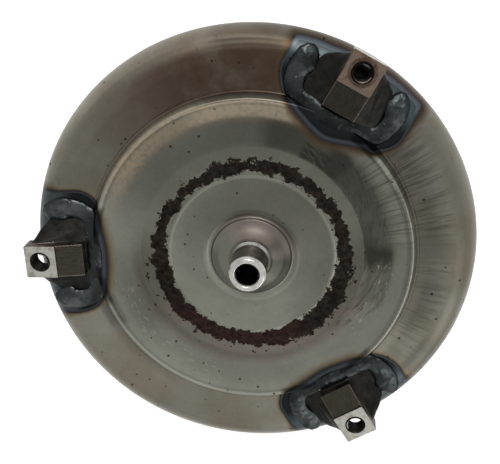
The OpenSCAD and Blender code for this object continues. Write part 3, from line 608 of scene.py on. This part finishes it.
# Forged lug: black-brown scale, bare bolted faces with rusty edges
def lug_finish():
    f = Finish("lug_steel_finish", metallic=0.95)
    scale = f.noise(5.0, 4, 0.6)
    fine = f.noise(0.9, 4, 0.7)
    streak = f.noise(1.0, 3, 0.6, place=f.vector(f.over(f.turn(), 0.35), f.over(f.radius(), 6.0)))
    dark = f.mix(f.ease(scale, 0.3, 0.7), rgb(0.0075, 0.008, 0.0075), rgb(0.016, 0.015, 0.0135))
    rusty = f.ease(f.noise(3.0, 4, 0.6), 0.62, 0.8)
    dark = f.mix(f.both(rusty, 0.6), dark, rgb(0.04, 0.02, 0.014))
    up, first = f.upward(), f.ease(f.y, 60, 70)
    ramp = f.both(f.ease(up, 0.9, 0.95), f.ease(f.z, FACE_Z + 6, FACE_Z + 7))
    worn = f.mix(f.ease(streak, 0.35, 0.65), rgb(0.015, 0.0138, 0.0108), rgb(0.0235, 0.021, 0.0158))
    dark = f.mix(ramp, dark, f.shade(worn, f.between(f.ease(f.y, 20, 60), 1.6, 1.0)))
    pad = f.both(f.ease(up, 0.9, 0.97), f.ease(f.z, PAD_Z - 0.5, PAD_Z - 0.2))
    face = f.most(pad, f.ease(f.radius(), 124.5, 124.9))
    bare = f.mix(f.ease(f.noise(4.0, 4, 0.65), 0.45, 0.75), rgb(0.36, 0.365, 0.33), rgb(0.22, 0.19, 0.15))
    brown = f.mix(scale, rgb(0.085, 0.06, 0.045), rgb(0.13, 0.1, 0.08))
    brown = f.mix(f.ease(f.noise(2.6, 4, 0.7), 0.52, 0.66), brown, rgb(0.045, 0.026, 0.017))
    third = f.ease(f.x, 40, 60)
    bare = f.shade(bare, f.between(third, 0.95, 0.74))
    bare = f.mix(f.both(first, pad), bare, brown)
    colour = f.shade(f.mix(face, dark, bare), f.between(fine, 0.85, 1.15))
    upper = f.ease(f.z, FACE_Z + 3, FACE_Z + 4.5)
    pointed = f.node("ShaderNodeNewGeometry").outputs["Pointiness"]
    edge = f.both(f.ease(pointed, 0.515, 0.57), upper)
    steep = f.invert(f.ease(f.math("ABSOLUTE", up), 0.2, 0.4))
    wall = f.both(steep, upper, f.ease(scale, 0.3, 0.6), 0.6, f.invert(face))
    colour = f.mix(f.most(f.both(edge, 0.6), wall), colour, rgb(0.12, 0.092, 0.078))
    # Pale lines along the tower's side walls
    across, along = f.beside_lug()
    slope = f.both(f.minus(along, 93.0), 0.19)
    below = f.minus(f.plus(slope, PAD_Z - 3.6), f.z)
    short = f.both(f.band(below, -0.1, 0.4, 0.25), f.band(along, 93.5, 107.5, 0.4))
    seat = f.both(f.minus(along, 92.8), 0.115)
    above = f.minus(f.z, f.plus(seat, FACE_Z + 3.2))
    long = f.both(f.band(above, 0.15, 0.6, 0.3), f.band(along, 93.5, 121.0, 0.4))
    lines = f.both(f.most(short, long), f.band(f.math("ABSOLUTE", across), 8.9, 9.6, 0.2))
    second = f.ease(f.x, -60, -80)
    lines = f.both(lines, f.between(second, 0.3, 0.7))
    colour = f.mix(lines, colour, rgb(0.145, 0.122, 0.108))
    # Round the hole: a rusty ring on the first lug, and painted shade down in the thread
    away = f.vector_math("LENGTH", f.vector(across, f.minus(along, BOLT_R)))
    stain = f.both(f.band(away, 5.9, 6.9, 0.9), first, f.ease(scale, 0.25, 0.5), 0.75)
    colour = f.mix(stain, colour, rgb(0.035, 0.019, 0.012))
    rust = f.both(pad, f.ease(away, 7.5, 11.0), f.ease(f.noise(2.6, 4, 0.7), 0.46, 0.62), 0.6)
    colour = f.mix(rust, colour, rgb(0.13, 0.085, 0.045))
    deep = f.invert(f.ease(f.z, PAD_Z - 0.5, PAD_Z - 0.15))
    hole = f.both(f.invert(f.ease(away, 5.5, 5.8)), deep)
    colour = f.mix(hole, colour, rgb(0.005, 0.0045, 0.004))
    f.relief(f.plus(scale, f.both(fine, 0.5)), 0.1)
    return f.done(base_color=colour, roughness=f.between(fine, 0.36, 0.56))


# Weld beads: blue-black oxide, painted lit slate on the upward-facing crown, with a few pale glassy islands that
# also stand for painted glints
def weld_finish():
    f = Finish("weld_metal_finish", metallic=0.95)
    flow = f.noise(13.0, 2, 0.5)
    fine = f.noise(1.1, 4, 0.65)
    up = f.upward()
    # Painted light: the upward-facing crown is painted lit slate, more so towards the rim; elsewhere the bead stays
    # blue-black, black on the inner side
    rim = f.between(f.ease(f.radius(), 90, 108), 0.35, 1.0)
    painted_lit_crown = f.both(f.ease(up, 0.6, 0.98), f.between(f.ease(flow, 0.36, 0.62), 0.3, 1.0), rim)
    colour = f.mix(painted_lit_crown, rgb(0.0085, 0.009, 0.0095), rgb(0.05, 0.058, 0.057))
    scale = f.both(f.ease(f.noise(5.0, 3, 0.6), 0.58, 0.68), 0.5)
    colour = f.mix(scale, colour, rgb(0.012, 0.014, 0.015))
    # Pale glassy islands on upward-facing spots, standing also for painted glints
    glint_island = f.both(f.ease(f.noise(3.0, 5, 0.85), 0.65, 0.68), f.ease(up, 0.6, 0.9))
    colour = f.mix(f.both(glint_island, 0.85), colour, rgb(0.4, 0.39, 0.32))
    colour = f.shade(colour, f.between(fine, 0.85, 1.15))
    # The second lug's bead is paler, the first one's darker
    second, first = f.ease(f.x, -60, -75), f.ease(f.y, 60, 70)
    colour = f.shade(colour, f.between(second, 1.0, 1.45))
    colour = f.shade(colour, f.between(first, 1.0, 0.68))
    f.relief(f.plus(flow, f.both(fine, 0.25)), 0.2)
    return f.done(base_color=colour, roughness=f.between(fine, 0.22, 0.4))


# Pressed steel of the pump shell, with heat tint at its two welds
def shell_finish():
    f = Finish("shell_steel_finish")
    r, turn = f.radius(), f.turn()
    cloud = f.noise(30, 4)
    fine = f.noise(2.0, 5, 0.65)
    colour = f.mix(f.ease(cloud, 0.3, 0.7), rgb(0.12, 0.117, 0.098), rgb(0.175, 0.172, 0.15))
    rust = f.ease(f.noise(17, 6, 0.7), 0.6, 0.75)
    colour = f.mix(f.both(rust, 0.7), colour, rgb(0.075, 0.045, 0.026))
    drawn = f.vector(f.over(r, 0.4), f.over(f.z, 0.4), f.over(turn, 60.0))
    rings = f.noise(1.0, 2, 0.6, place=drawn)
    colour = f.shade(colour, f.both(f.between(rings, 0.9, 1.1), f.between(fine, 0.88, 1.12)))
    seam = f.ease(f.z, SKIRT_Z - 22, SKIRT_Z - 8)
    hub = f.invert(f.ease(r, 30, 40))
    heat = f.most(seam, hub)
    tint, share = f.ramp(heat, [(0.0, rgb(0.15, 0.11, 0.06, 0.0)), (0.4, rgb(0.13, 0.085, 0.04, 0.6)),
                                (0.7, rgb(0.05, 0.032, 0.04, 0.8)), (1.0, rgb(0.02, 0.024, 0.03, 0.95))])
    colour = f.mix(share, colour, tint)
    f.relief(f.plus(f.both(rings, 0.4), fine), 0.05)
    roughness = f.plus(f.between(fine, 0.36, 0.48), f.both(rust, 0.25))
    return f.done(base_color=colour, roughness=roughness, metallic=f.between(rust, 1.0, 0.5))


# Inner pieces: one plain machined or moulded finish each, with its own grain
def plain_finish(name, light, dark, size, roughness, metallic, depth):
    f = Finish(name, metallic=metallic)
    grain = f.noise(size, 5, 0.6)
    fine = f.noise(size / 8, 3, 0.6)
    colour = f.shade(f.mix(f.ease(grain, 0.3, 0.7), light, dark), f.between(fine, 0.9, 1.1))
    f.relief(fine, depth)
    return f.done(base_color=colour, roughness=f.between(grain, roughness - 0.06, roughness + 0.08))


# Front cover: a spun pressing with a boss, a shallow dish, a crest, a foot and a rounded rim
def cover_outline():
    dish = (DISH_START_R, DISH_RADIUS)
    crest = (CREST_R, CREST_RISE - CREST_FILLET)
    foot = (FOOT_R, FOOT_FILLET - RING_DROP)
    rim = (COVER_R - RIM_FILLET, -RING_DROP - RIM_FILLET)
    skirt = SKIRT_Z - FACE_Z
    boss_edge, hole_r, seat = (21.2, 0.35), 8.6, BOSS_RISE - 0.9
    outside = [(hole_r, seat), (11.9, seat), (12.0, BOSS_RISE - 0.3), (12.4, BOSS_RISE - 0.35)]
    outside += [(16.5, 3.1), (20.7, 1.25)]
    outside += arc(boss_edge, 0.9, 66, 20, 4)
    outside += [(22.5, -0.15), (22.9, -0.4), (23.4, -0.5), (24.0, -0.4), (24.9, -0.1), (25.4, 0.02), (26.2, 0.0)]
    outside += [(34, 0.0), (45.2, 0.0), (45.5, 0.12), (46.0, 0.12), (46.3, 0.0), (54, 0.0)]
    outside += arc(dish, DISH_RADIUS, -90, DISH_ANGLE - 90, 16)
    outside += arc(crest, CREST_FILLET, 90 + DISH_ANGLE, WALL_LEAN, 10)
    outside += arc(foot, FOOT_FILLET, 180 + WALL_LEAN, 270, 8)
    outside += [(96, -RING_DROP), (101, -RING_DROP), (106, -RING_DROP)]
    outside += arc(rim, RIM_FILLET, 90, 0, 20)
    outside += [(COVER_R - SKIRT_TAPER * share, rim[1] + (skirt - rim[1]) * share) for share in (0.3, 0.6, 0.93)]
    outside += [(COVER_R - SKIRT_TAPER - 0.6, skirt)]
    inside = [(COVER_R - COVER_SKIN, skirt)]
    inside += arc(rim, RIM_FILLET - COVER_SKIN, 0, 90, 5)
    inside += arc(foot, FOOT_FILLET + COVER_SKIN, 270, 180 + WALL_LEAN, 5)
    inside += arc(dish, DISH_RADIUS + COVER_SKIN, DISH_ANGLE - 91.2, -90, 5)
    inside += [(hole_r, -COVER_SKIN), (hole_r, seat)]
    return [(r, FACE_Z + z) for r, z in outside + inside]


def make_cover():
    cover = lathe("cover_pressing", cover_outline(), 288)
    smooth(cover)
    finished(cover, "housing", "cover_steel", cover_finish(), "front_cover")


# Pilot: turned post with a base collar, chamfered tip and a drilled blind hole
def make_pilot():
    tip, base = PILOT_TIP_Z, FACE_Z + BOSS_RISE
    bore, post, root = 6.0, 10.1, 8.4
    outline = [(0, FACE_Z - COVER_SKIN), (root, FACE_Z - COVER_SKIN), (root, base - 0.8), (10.9, base - 0.8)]
    outline += [(11.1, base - 0.5), (11.2, base + 1.1)]
    outline += arc((10.8, base + 1.3), 0.4, 0, 50, 4)
    outline += arc((10.6, base + 3.6), 0.5, 230, 180, 4)
    outline += [(post, base + 6), (post, tip - 5)]
    outline += arc((9.8, tip - 1.75), 0.3, 0, 45, 3)
    outline += arc((8.75, tip - 0.4), 0.4, 45, 90, 3)
    outline += [(7.1, tip)]
    outline += arc((7.0, tip - 0.25), 0.25, 90, 150, 3)
    outline += [(6.05, tip - 0.9), (bore, tip - 1.2), (bore, tip - 13.4), (5.7, tip - 13.9), (0, tip - 15.6)]
    pilot = lathe("pilot_post", outline + [outline[0]], 128)
    smooth(pilot)
    # The post's body between collar and tip is painted darker, a painted dark reflection
    light, dark, body = rgb(0.52, 0.515, 0.49), rgb(0.33, 0.32, 0.3), (base + 4, tip - 3)
    finish = turned_finish("pilot_steel_finish", light, dark, bore, tip, body)
    finished(pilot, "housing", "pilot_steel", finish, "pilot")


# Drive lugs: a foot drawn up to a narrow waist, a square tower with ramp and bolted face, a tapped hole
def lug_foot():
    """The spreading foot, drawn up level by level; each end of a level is (half-width, y, height)."""
    levels = [((22.4, 89.0, -1.5), (20.6, 117.0, -1.5)), ((18.8, 89.9, -0.1), (17.4, 119.4, 0.6)),
              ((15.6, 90.8, 1.0), (14.2, 121.0, 2.4)), ((9.5, 92.8, 3.2), (9.4, 124.1, 6.8))]
    low, middle = FACE_Z - 4.5, 103.0
    inner, outer = levels[0]
    foot = block("lug_foot", (-inner[0], inner[1], low), (inner[0], outer[1], FACE_Z + inner[2]))
    edit(foot)
    pick(foot, lambda v: v.co.y > middle * MM)
    bpy.ops.transform.resize(value=(outer[0] / inner[0], 1, 1))
    upright = lambda e: abs(e.verts[0].co.z - e.verts[1].co.z) > MM
    pick(foot, lambda e: upright(e) and e.verts[0].co.y < middle * MM, "edges")
    bpy.ops.mesh.bevel(offset=8 * MM, segments=8)
    pick(foot, lambda e: upright(e) and e.verts[0].co.y > (outer[1] - 1) * MM, "edges")
    bpy.ops.mesh.bevel(offset=6 * MM, segments=6)
    pick(foot, lambda p: p.normal.z > 0.9, "faces")
    for before, after in zip(levels, levels[1:]):
        bpy.ops.mesh.extrude_region_move()
        raised = {v.index for v in bmesh.from_edit_mesh(foot.data).verts if v.select}
        for end, near in enumerate((lambda v: v.co.y < middle * MM, lambda v: v.co.y > middle * MM)):
            pick(foot, lambda v: v.index in raised and near(v))
            bpy.ops.transform.resize(value=(after[end][0] / before[end][0], 1, 1))
            move = [(b - a) * MM for a, b in zip(before[end][1:], after[end][1:])]
            bpy.ops.transform.translate(value=(0, *move))
        pick(foot, lambda v: v.index in raised)
    end_edit()
    cut(foot, block("rim_gap", (-7.5, 111.2, low - 1), (7.5, 135, OVERHANG_Z)))
    return foot


def lug_tower():
    half, ramp_y, step_y, outer_y = 9.3, 93.0, 107.7, 125.1
    step, ramp_drop = 0.8, 2.8
    tower = block("lug_tower", (-half, ramp_y, OVERHANG_Z), (half, outer_y, PAD_Z))
    edit(tower)
    for y in (step_y, step_y - 0.15):
        select_all()
        bpy.ops.mesh.bisect(plane_co=(0, y * MM, 0), plane_no=(0, 1, 0))
    top = lambda v: v.co.z > (PAD_Z - 0.1) * MM
    pick(tower, lambda v: top(v) and v.co.y < (step_y - 0.1) * MM)
    bpy.ops.transform.translate(value=(0, 0, -step * MM))
    pick(tower, lambda v: v.co.z > (FACE_Z + 5) * MM and v.co.y < (ramp_y + 1) * MM)
    bpy.ops.transform.translate(value=(0, 0, -ramp_drop * MM))
    end_edit()
    return tower


def hole_cutter():
    """The hole at the thread's roots, with its chamfered mouth."""
    root_r, mouth_r, low, high = 4.9, 5.8, FACE_Z - 9, PAD_Z + 1
    outline = [(0, low), (root_r, low), (root_r, PAD_Z - 0.9), (mouth_r, PAD_Z), (mouth_r, high), (0, high)]
    return moved_to_bolt(lathe("hole_core", outline + [outline[0]], 64))


def thread_ridge():
    """The ridge of an M10 thread, wound down the hole's wall."""
    pitch, turns, steps = 1.5, 6, 48
    profile = [(-0.7, 0.5), (0.0, 0.25), (0.7, 0.5), (0.0, -1.25)]
    ridge = drawn_line("thread_ridge", (4.97, OVERHANG_Z + 0.2), profile)
    bpy.ops.mesh.remove_doubles(threshold=SAME_POINT)
    end_edit()
    modify(ridge, "SCREW", axis="Z", angle=math.tau, screw_offset=pitch * MM, iterations=turns, steps=steps,
           render_steps=steps)
    edit(ridge)
    select_all()
    bpy.ops.mesh.remove_doubles(threshold=SAME_POINT)
    bpy.ops.mesh.fill_holes(sides=0)
    select_all()
    bpy.ops.mesh.normals_make_consistent(inside=False)
    end_edit()
    return moved_to_bolt(ridge)


def moved_to_bolt(obj):
    """Moves a piece from the axis to the first lug's hole."""
    only(obj)
    bpy.ops.transform.translate(value=(0, BOLT_R * MM, 0))
    settle()
    return obj


def make_lugs():
    lug = lug_foot()
    cut(lug, lug_tower(), "UNION")
    lug.data.remesh_voxel_size = 0.4 * MM
    only(lug)
    bpy.ops.object.voxel_remesh()
    modify(lug, "SMOOTH", factor=0.5, iterations=4)
    cut(lug, hole_cutter())
    ridge = thread_ridge()
    only(lug)
    ridge.select_set(True)
    bpy.ops.object.join()
    finish = lug_finish()
    for i, piece in enumerate(turned_copies(lug, LUG_COUNT, "forged_lug")):
        roughen(piece, f"forging_{i}", 6, 0.35)
        # The bolted face is flat
        edit(piece)
        pick(piece, lambda v: v.co.z > (PAD_Z - 0.35) * MM)
        bpy.ops.transform.resize(value=(1, 1, 0), center_override=(0, 0, PAD_Z * MM))
        end_edit()
        smooth(piece, 40)
        finished(piece, "housing", "lug_steel", finish, f"drive_lug_{i + 1}")


# Weld beads round the lugs: a flattened run whose ends curl inward, lumpy along its way
def cover_height(r):
    """Height of the cover's outside above its flat face, outside the flat."""
    if r < CREST_R:
        return DISH_RADIUS - math.sqrt(DISH_RADIUS ** 2 - (r - DISH_START_R) ** 2)
    if r < FOOT_R:
        return CREST_RISE - (r - CREST_R) * (CREST_RISE + RING_DROP) / (FOOT_R - CREST_R)
    rim_r = COVER_R - RIM_FILLET
    if r < rim_r:
        return -RING_DROP
    return -RING_DROP - RIM_FILLET + math.sqrt(max(0.0, RIM_FILLET ** 2 - (r - rim_r) ** 2))


def bead_route():
    """The bead as (x, y, half-width, lift) from rim end to rim end; both ends curl inward and sink a little."""
    half = [(21.9, 114.6, 2.6, -1.0), (22.7, 113.9, 4.8, -0.7), (24.1, 112.2, 6.2, -0.4), (25.6, 109.4, 6.7, 0.0),
            (26.7, 106.2, 6.4, 0.2), (27.6, 103.2, 5.9, 0.2), (27.4, 99.0, 5.5, 0.2), (26.2, 94.6, 5.3, 0.2),
            (23.8, 91.0, 5.2, 0.2), (20.0, 89.2, 4.9, 0.2), (14.5, 88.7, 4.6, 0.2), (9.5, 88.5, 4.4, 0.2),
            (4.8, 88.2, 4.2, 0.2), (0, 88.0, 4.1, 0.2)]
    other = []
    for x, y, wide, lift in reversed(half[:-1]):
        end = max(0.0, (y - 104) / 10)
        other.append((-x - 0.3 * min(x, 1), y - 1.8 * end, (1.05 + 0.1 * end) * wide, lift))
    return half + other


def bead_section():
    """Low oval that the bead's run carries, 1 mm to each side."""
    deselect()
    bpy.ops.curve.primitive_bezier_circle_add(radius=1)
    section = bpy.context.object
    flatness = 0.34
    section.scale = (MM, flatness * MM, 1)
    settle()
    return section


def make_lug_beads():
    section, route = bead_section(), bead_route()
    run = path([(x, y, FACE_Z + cover_height(math.hypot(x, y)) + lift) for x, y, wide, lift in route])
    for point, (x, y, wide, lift) in zip(run.data.splines[0].points, route):
        point.radius = wide
    run.data.bevel_mode = "OBJECT"
    run.data.bevel_object = section
    run.data.twist_mode = "Z_UP"
    bead = as_mesh(run)
    bpy.data.objects.remove(section)
    bead.data.remesh_voxel_size = 0.45 * MM
    bpy.ops.object.voxel_remesh()
    modify(bead, "SMOOTH", factor=0.5, iterations=6)
    finish = weld_finish()
    for i, piece in enumerate(turned_copies(bead, LUG_COUNT, "lug_bead")):
        for size, depth in ((9, 1.2), (2.6, 0.3)):
            roughen(piece, f"bead_{size}_{i}", size, depth)
        smooth(piece, 60)
        finished(piece, "housing", "weld_metal", finish, f"lug_weld_{i + 1}")
    return finish


# Weld rings: the seam between cover and pump shell, and the hub's own weld
def weld_ring(name, node, steps, ripple, finish):
    low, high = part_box(node)
    tube = (high[2] - low[2]) / 2 / MM
    centre = (high[0] / MM - tube, (high[2] + low[2]) / 2 / MM)
    ring = lathe(name, arc(centre, tube - 0.1, 0, 360, 18), steps)
    edit(ring)
    pitch = 5
    station = lambda v: round(math.atan2(v.co.y, v.co.x) / math.tau * steps) % pitch
    for phase, share in ((0, -1.0), (1, -0.35), (4, -0.35)):
        pick(ring, lambda v: station(v) == phase)
        bpy.ops.transform.shrink_fatten(value=share * ripple * MM)
    end_edit()
    roughen(ring, f"{name}_lumps", 5, 0.5, level=0.75)
    smooth(ring, 60)
    finished(ring, "housing", "weld_metal", finish, node)


# Pump shell: a spun bowl with a flat round the hub
def make_pump_shell():
    ring_r, ring_z, a, b, skin = 84, 62, 32, 25, 3.45
    flange_z, hole_r, top_z = 49.5, 25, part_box("impeller_shell")[1][2] / MM
    outer_end = 180 - math.degrees(math.asin((ring_z - flange_z + skin) / (b + skin)))
    inner_end = 180 - math.degrees(math.asin((ring_z - flange_z) / b))
    outline = [(ring_r + a + skin, top_z), (ring_r + a + skin, 80), (ring_r + a + skin, 71)]
    outline += oval((ring_r, ring_z), a + skin, b + skin, 0, -outer_end, 48)
    outline += [(50, flange_z - skin), (40, flange_z - skin), (hole_r, flange_z - skin), (hole_r, flange_z)]
    outline += oval((ring_r, ring_z), a, b, -inner_end, 0, 24)
    outline += [(ring_r + a, top_z)]
    shell = lathe("pump_shell", outline + [outline[0]], 240)
    smooth(shell)
    finished(shell, "housing", "shell_steel", shell_finish(), "impeller_shell")


# Pump hub: ground journal, welded collar and two drive slots
def make_pump_hub():
    bore, hub_r, collar_r, spigot_r = 20.5, 24.0, 27.5, 24.97
    collar_z, flange_z = 46.05, 49.5
    outline = [(bore, 0.9), (bore + 0.7, 0.0), (hub_r - 1.3, 0.0)]
    outline += arc((hub_r - 1.4, 1.4), 1.4, -80, 0, 5)
    outline += [(hub_r, 12), (hub_r, 30), (hub_r, collar_z - 7.4)]
    outline += [(hub_r + 0.3, collar_z - 6.9), (collar_r - 0.4, collar_z - 5.6), (collar_r, collar_z - 5.2)]
    outline += [(collar_r, collar_z), (spigot_r, collar_z), (spigot_r, flange_z), (bore, flange_z)]
    hub = lathe("pump_hub_sleeve", outline + [outline[0]], 160)
    slot_depth, slot_half = 7, 4.5
    slot = block("drive_slot", (-40, -slot_half, -5), (40, slot_half, slot_depth))
    edit(slot)
    pick(slot, lambda e: all(abs(v.co.z - slot_depth * MM) < 0.01 * MM for v in e.verts)
         and abs(e.verts[0].co.x - e.verts[1].co.x) > MM, "edges")
    bpy.ops.mesh.bevel(offset=1.2 * MM, segments=4)
    end_edit()
    cut(hub, slot)
    smooth(hub)
    finish = turned_finish("hub_steel_finish", rgb(0.56, 0.55, 0.53), rgb(0.4, 0.39, 0.37), 0.0, 0.0)
    finished(hub, "housing", "hub_steel", finish, "pump_hub")
    return finish


# Damper springs: round wire coiled along an arc between the stops
def coil_half(name, height, first, last, steps):
    """Half a wound spring, from the angle and turn of its first end to those of its last."""
    coil_r, wire_r, circle_r = 3.7, 1.2, 104.0
    points = []
    for i in range(steps + 1):
        angle, turn = (a + (b - a) * i / steps for a, b in zip(first, last))
        r = circle_r + coil_r * math.cos(turn)
        points.append((r * math.cos(angle), r * math.sin(angle), height + coil_r * math.sin(turn)))
    wire = path(points)
    wire.data.bevel_depth = wire_r * MM
    wire.data.bevel_resolution = 2
    half = as_mesh(wire)
    half.name = name
    smooth(half, 60)
    ends = [(circle_r * math.cos(a) * MM, circle_r * math.sin(a) * MM, height * MM) for a in (first[0], last[0])]
    return half, ends


def make_damper_springs():
    """Each spring is two halves, each wound from one of its ends to the middle."""
    curls, rings_per_curl = 11, 14
    low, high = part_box("damper_springs")
    height = (low[2] + high[2]) / 2 / MM
    start, span = math.radians(4.2), math.radians(51.6)
    finish = plain_finish("spring_steel_finish", rgb(0.16, 0.17, 0.2), rgb(0.1, 0.105, 0.125), 9, 0.38, 1.0, 0.02)
    for i in range(SPRING_COUNT):
        begin = start + math.tau * i / SPRING_COUNT
        middle = (begin + span / 2, math.pi * curls)
        ends = {"a": (begin, 0.0), "b": (begin + span, math.tau * curls)}
        for side, end in ends.items():
            half, route = coil_half(f"damper_coil_{i + 1}{side}", height, end, middle, curls * rings_per_curl // 2)
            coat(half, finish)
            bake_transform(half)
            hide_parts("damper_springs")


# Inner nodes keep their solids and take a finish by slot
def dress_inner_nodes(hub_finish):
    # Slot, finish, light and dark colour, grain in mm, roughness, metallic, depth of the grain in mm
    kinds = [
        ("shell_steel", "turbine_steel", (0.4, 0.39, 0.36), (0.3, 0.29, 0.26), 14, 0.38, 1.0, 0.02),
        ("blade_steel", "blade_steel", (0.46, 0.44, 0.4), (0.34, 0.32, 0.28), 10, 0.36, 1.0, 0.02),
        ("bearing_steel", "bearing_steel", (0.66, 0.66, 0.66), (0.56, 0.56, 0.56), 8, 0.18, 1.0, 0.004),
        ("cage_brass", "cage_brass", (0.62, 0.45, 0.2), (0.5, 0.35, 0.15), 6, 0.3, 1.0, 0.01),
        ("plate_steel", "plate_steel", (0.42, 0.41, 0.39), (0.32, 0.31, 0.29), 16, 0.36, 1.0, 0.02),
        ("rivet_steel", "rivet_steel", (0.5, 0.49, 0.46), (0.38, 0.37, 0.35), 3, 0.34, 1.0, 0.03),
        ("friction_paper", "friction_paper", (0.19, 0.12, 0.07), (0.12, 0.075, 0.045), 5, 0.85, 0.0, 0.08),
        ("seal_rubber", "seal_rubber", (0.02, 0.02, 0.021), (0.03, 0.03, 0.03), 5, 0.62, 0.0, 0.02),
        ("bearing_plastic", "bearing_plastic", (0.22, 0.125, 0.06), (0.16, 0.09, 0.04), 7, 0.45, 0.0, 0.02),
        ("stator_alloy", "stator_alloy", (0.6, 0.6, 0.6), (0.5, 0.5, 0.49), 9, 0.42, 1.0, 0.06),
    ]
    finishes = {"hub_steel": hub_finish}
    for slot, name, light, dark, *grain in kinds:
        finishes[slot] = plain_finish(f"{name}_finish", rgb(*light), rgb(*dark), *grain)
    slots = {part["node"]: part["material_slot"] for part in frame["record"]["subparts"]}
    for name, obj in frame["nodes"].items():
        finish = finishes.get(slots[name])
        if finish is None or not obj.material_slots:
            continue
        for material_slot in obj.material_slots:
            material_slot.material = finish


# Stage: pale floor that keeps the shadow, white surroundings, soft studio lamps, the photographed view
def seen_directly(tree):
    """1 for rays from the camera, a mirror or glass, 0 for the rest."""
    path = tree.nodes.new("ShaderNodeLightPath")
    total = path.outputs["Is Camera Ray"]
    for name in ("Is Glossy Ray", "Is Transmission Ray"):
        larger = tree.nodes.new("ShaderNodeMath")
        larger.operation = "MAXIMUM"
        tree.links.new(total, larger.inputs[0])
        tree.links.new(path.outputs[name], larger.inputs[1])
        total = larger.outputs[0]
    return total


def make_floor():
    deselect()
    bpy.ops.mesh.primitive_plane_add(size=8, location=(0, 0, 0))
    floor = bpy.context.object
    floor.name = "studio_floor"
    material = bpy.data.materials.new("floor_finish")
    material.use_nodes = True
    tree = material.node_tree
    shader = tree.nodes["Principled BSDF"]
    shader.inputs["Base Color"].default_value = rgb(0.82, 0.82, 0.82)
    shader.inputs["Roughness"].default_value = 0.9
    shader.inputs["Emission Color"].default_value = rgb(1, 1, 1)
    glow = tree.nodes.new("ShaderNodeMath")
    glow.operation = "MULTIPLY"
    tree.links.new(seen_directly(tree), glow.inputs[0])
    glow.inputs[1].default_value = 0.45
    tree.links.new(glow.outputs[0], shader.inputs["Emission Strength"])
    floor.data.materials.append(material)


def make_world():
    world = bpy.data.worlds.new("studio")
    bpy.context.scene.world = world
    world.use_nodes = True
    tree = world.node_tree
    background = tree.nodes["Background"]
    background.inputs["Color"].default_value = rgb(1, 1, 1)
    level = tree.nodes.new("ShaderNodeMapRange")
    tree.links.new(seen_directly(tree), level.inputs[0])
    level.inputs[3].default_value = 0.45
    level.inputs[4].default_value = 1.0
    tree.links.new(level.outputs[0], background.inputs["Strength"])


def lamp(name, place, aim, size, power):
    deselect()
    bpy.ops.object.light_add(type="AREA", location=place)
    light = bpy.context.object
    light.name = name
    light.data.shape = "DISK"
    light.data.size = size
    light.data.energy = power
    light.rotation_euler = (Vector(aim) - Vector(place)).to_track_quat("-Z", "Y").to_euler()


def make_camera():
    place = Vector((-46.85, 159.74, 506.39)) * MM
    aim = Vector((-7.37, 12.18, FACE_Z)) * MM
    roll = math.radians(-165.79)
    deselect()
    bpy.ops.object.camera_add(location=place)
    camera = bpy.context.object
    turn = (aim - place).to_track_quat("-Z", "Y").to_matrix() @ Matrix.Rotation(roll, 3, "Z")
    camera.rotation_euler = turn.to_euler()
    camera.data.lens = 55.0
    camera.data.sensor_width = 36
    camera.data.sensor_fit = "HORIZONTAL"
    bpy.context.scene.camera = camera


make_camera()
make_cover()
make_pilot()
make_lugs()
weld = make_lug_beads()
weld_ring("seam_bead", "seam_weld", 720, 0.22, weld)
weld_ring("hub_bead", "hub_weld", 240, 0.2, weld)
make_pump_shell()
hub = make_pump_hub()
make_damper_springs()
dress_inner_nodes(hub)
make_floor()
make_world()
lamp("key_light", (-0.35, 0.85, 1.1), (0, 0, 0.1), 0.7, 14)
lamp("fill_light", (0.9, -0.5, 0.9), (0, 0, 0.1), 1.0, 6)
bpy.context.scene.view_settings.view_transform = "Standard"
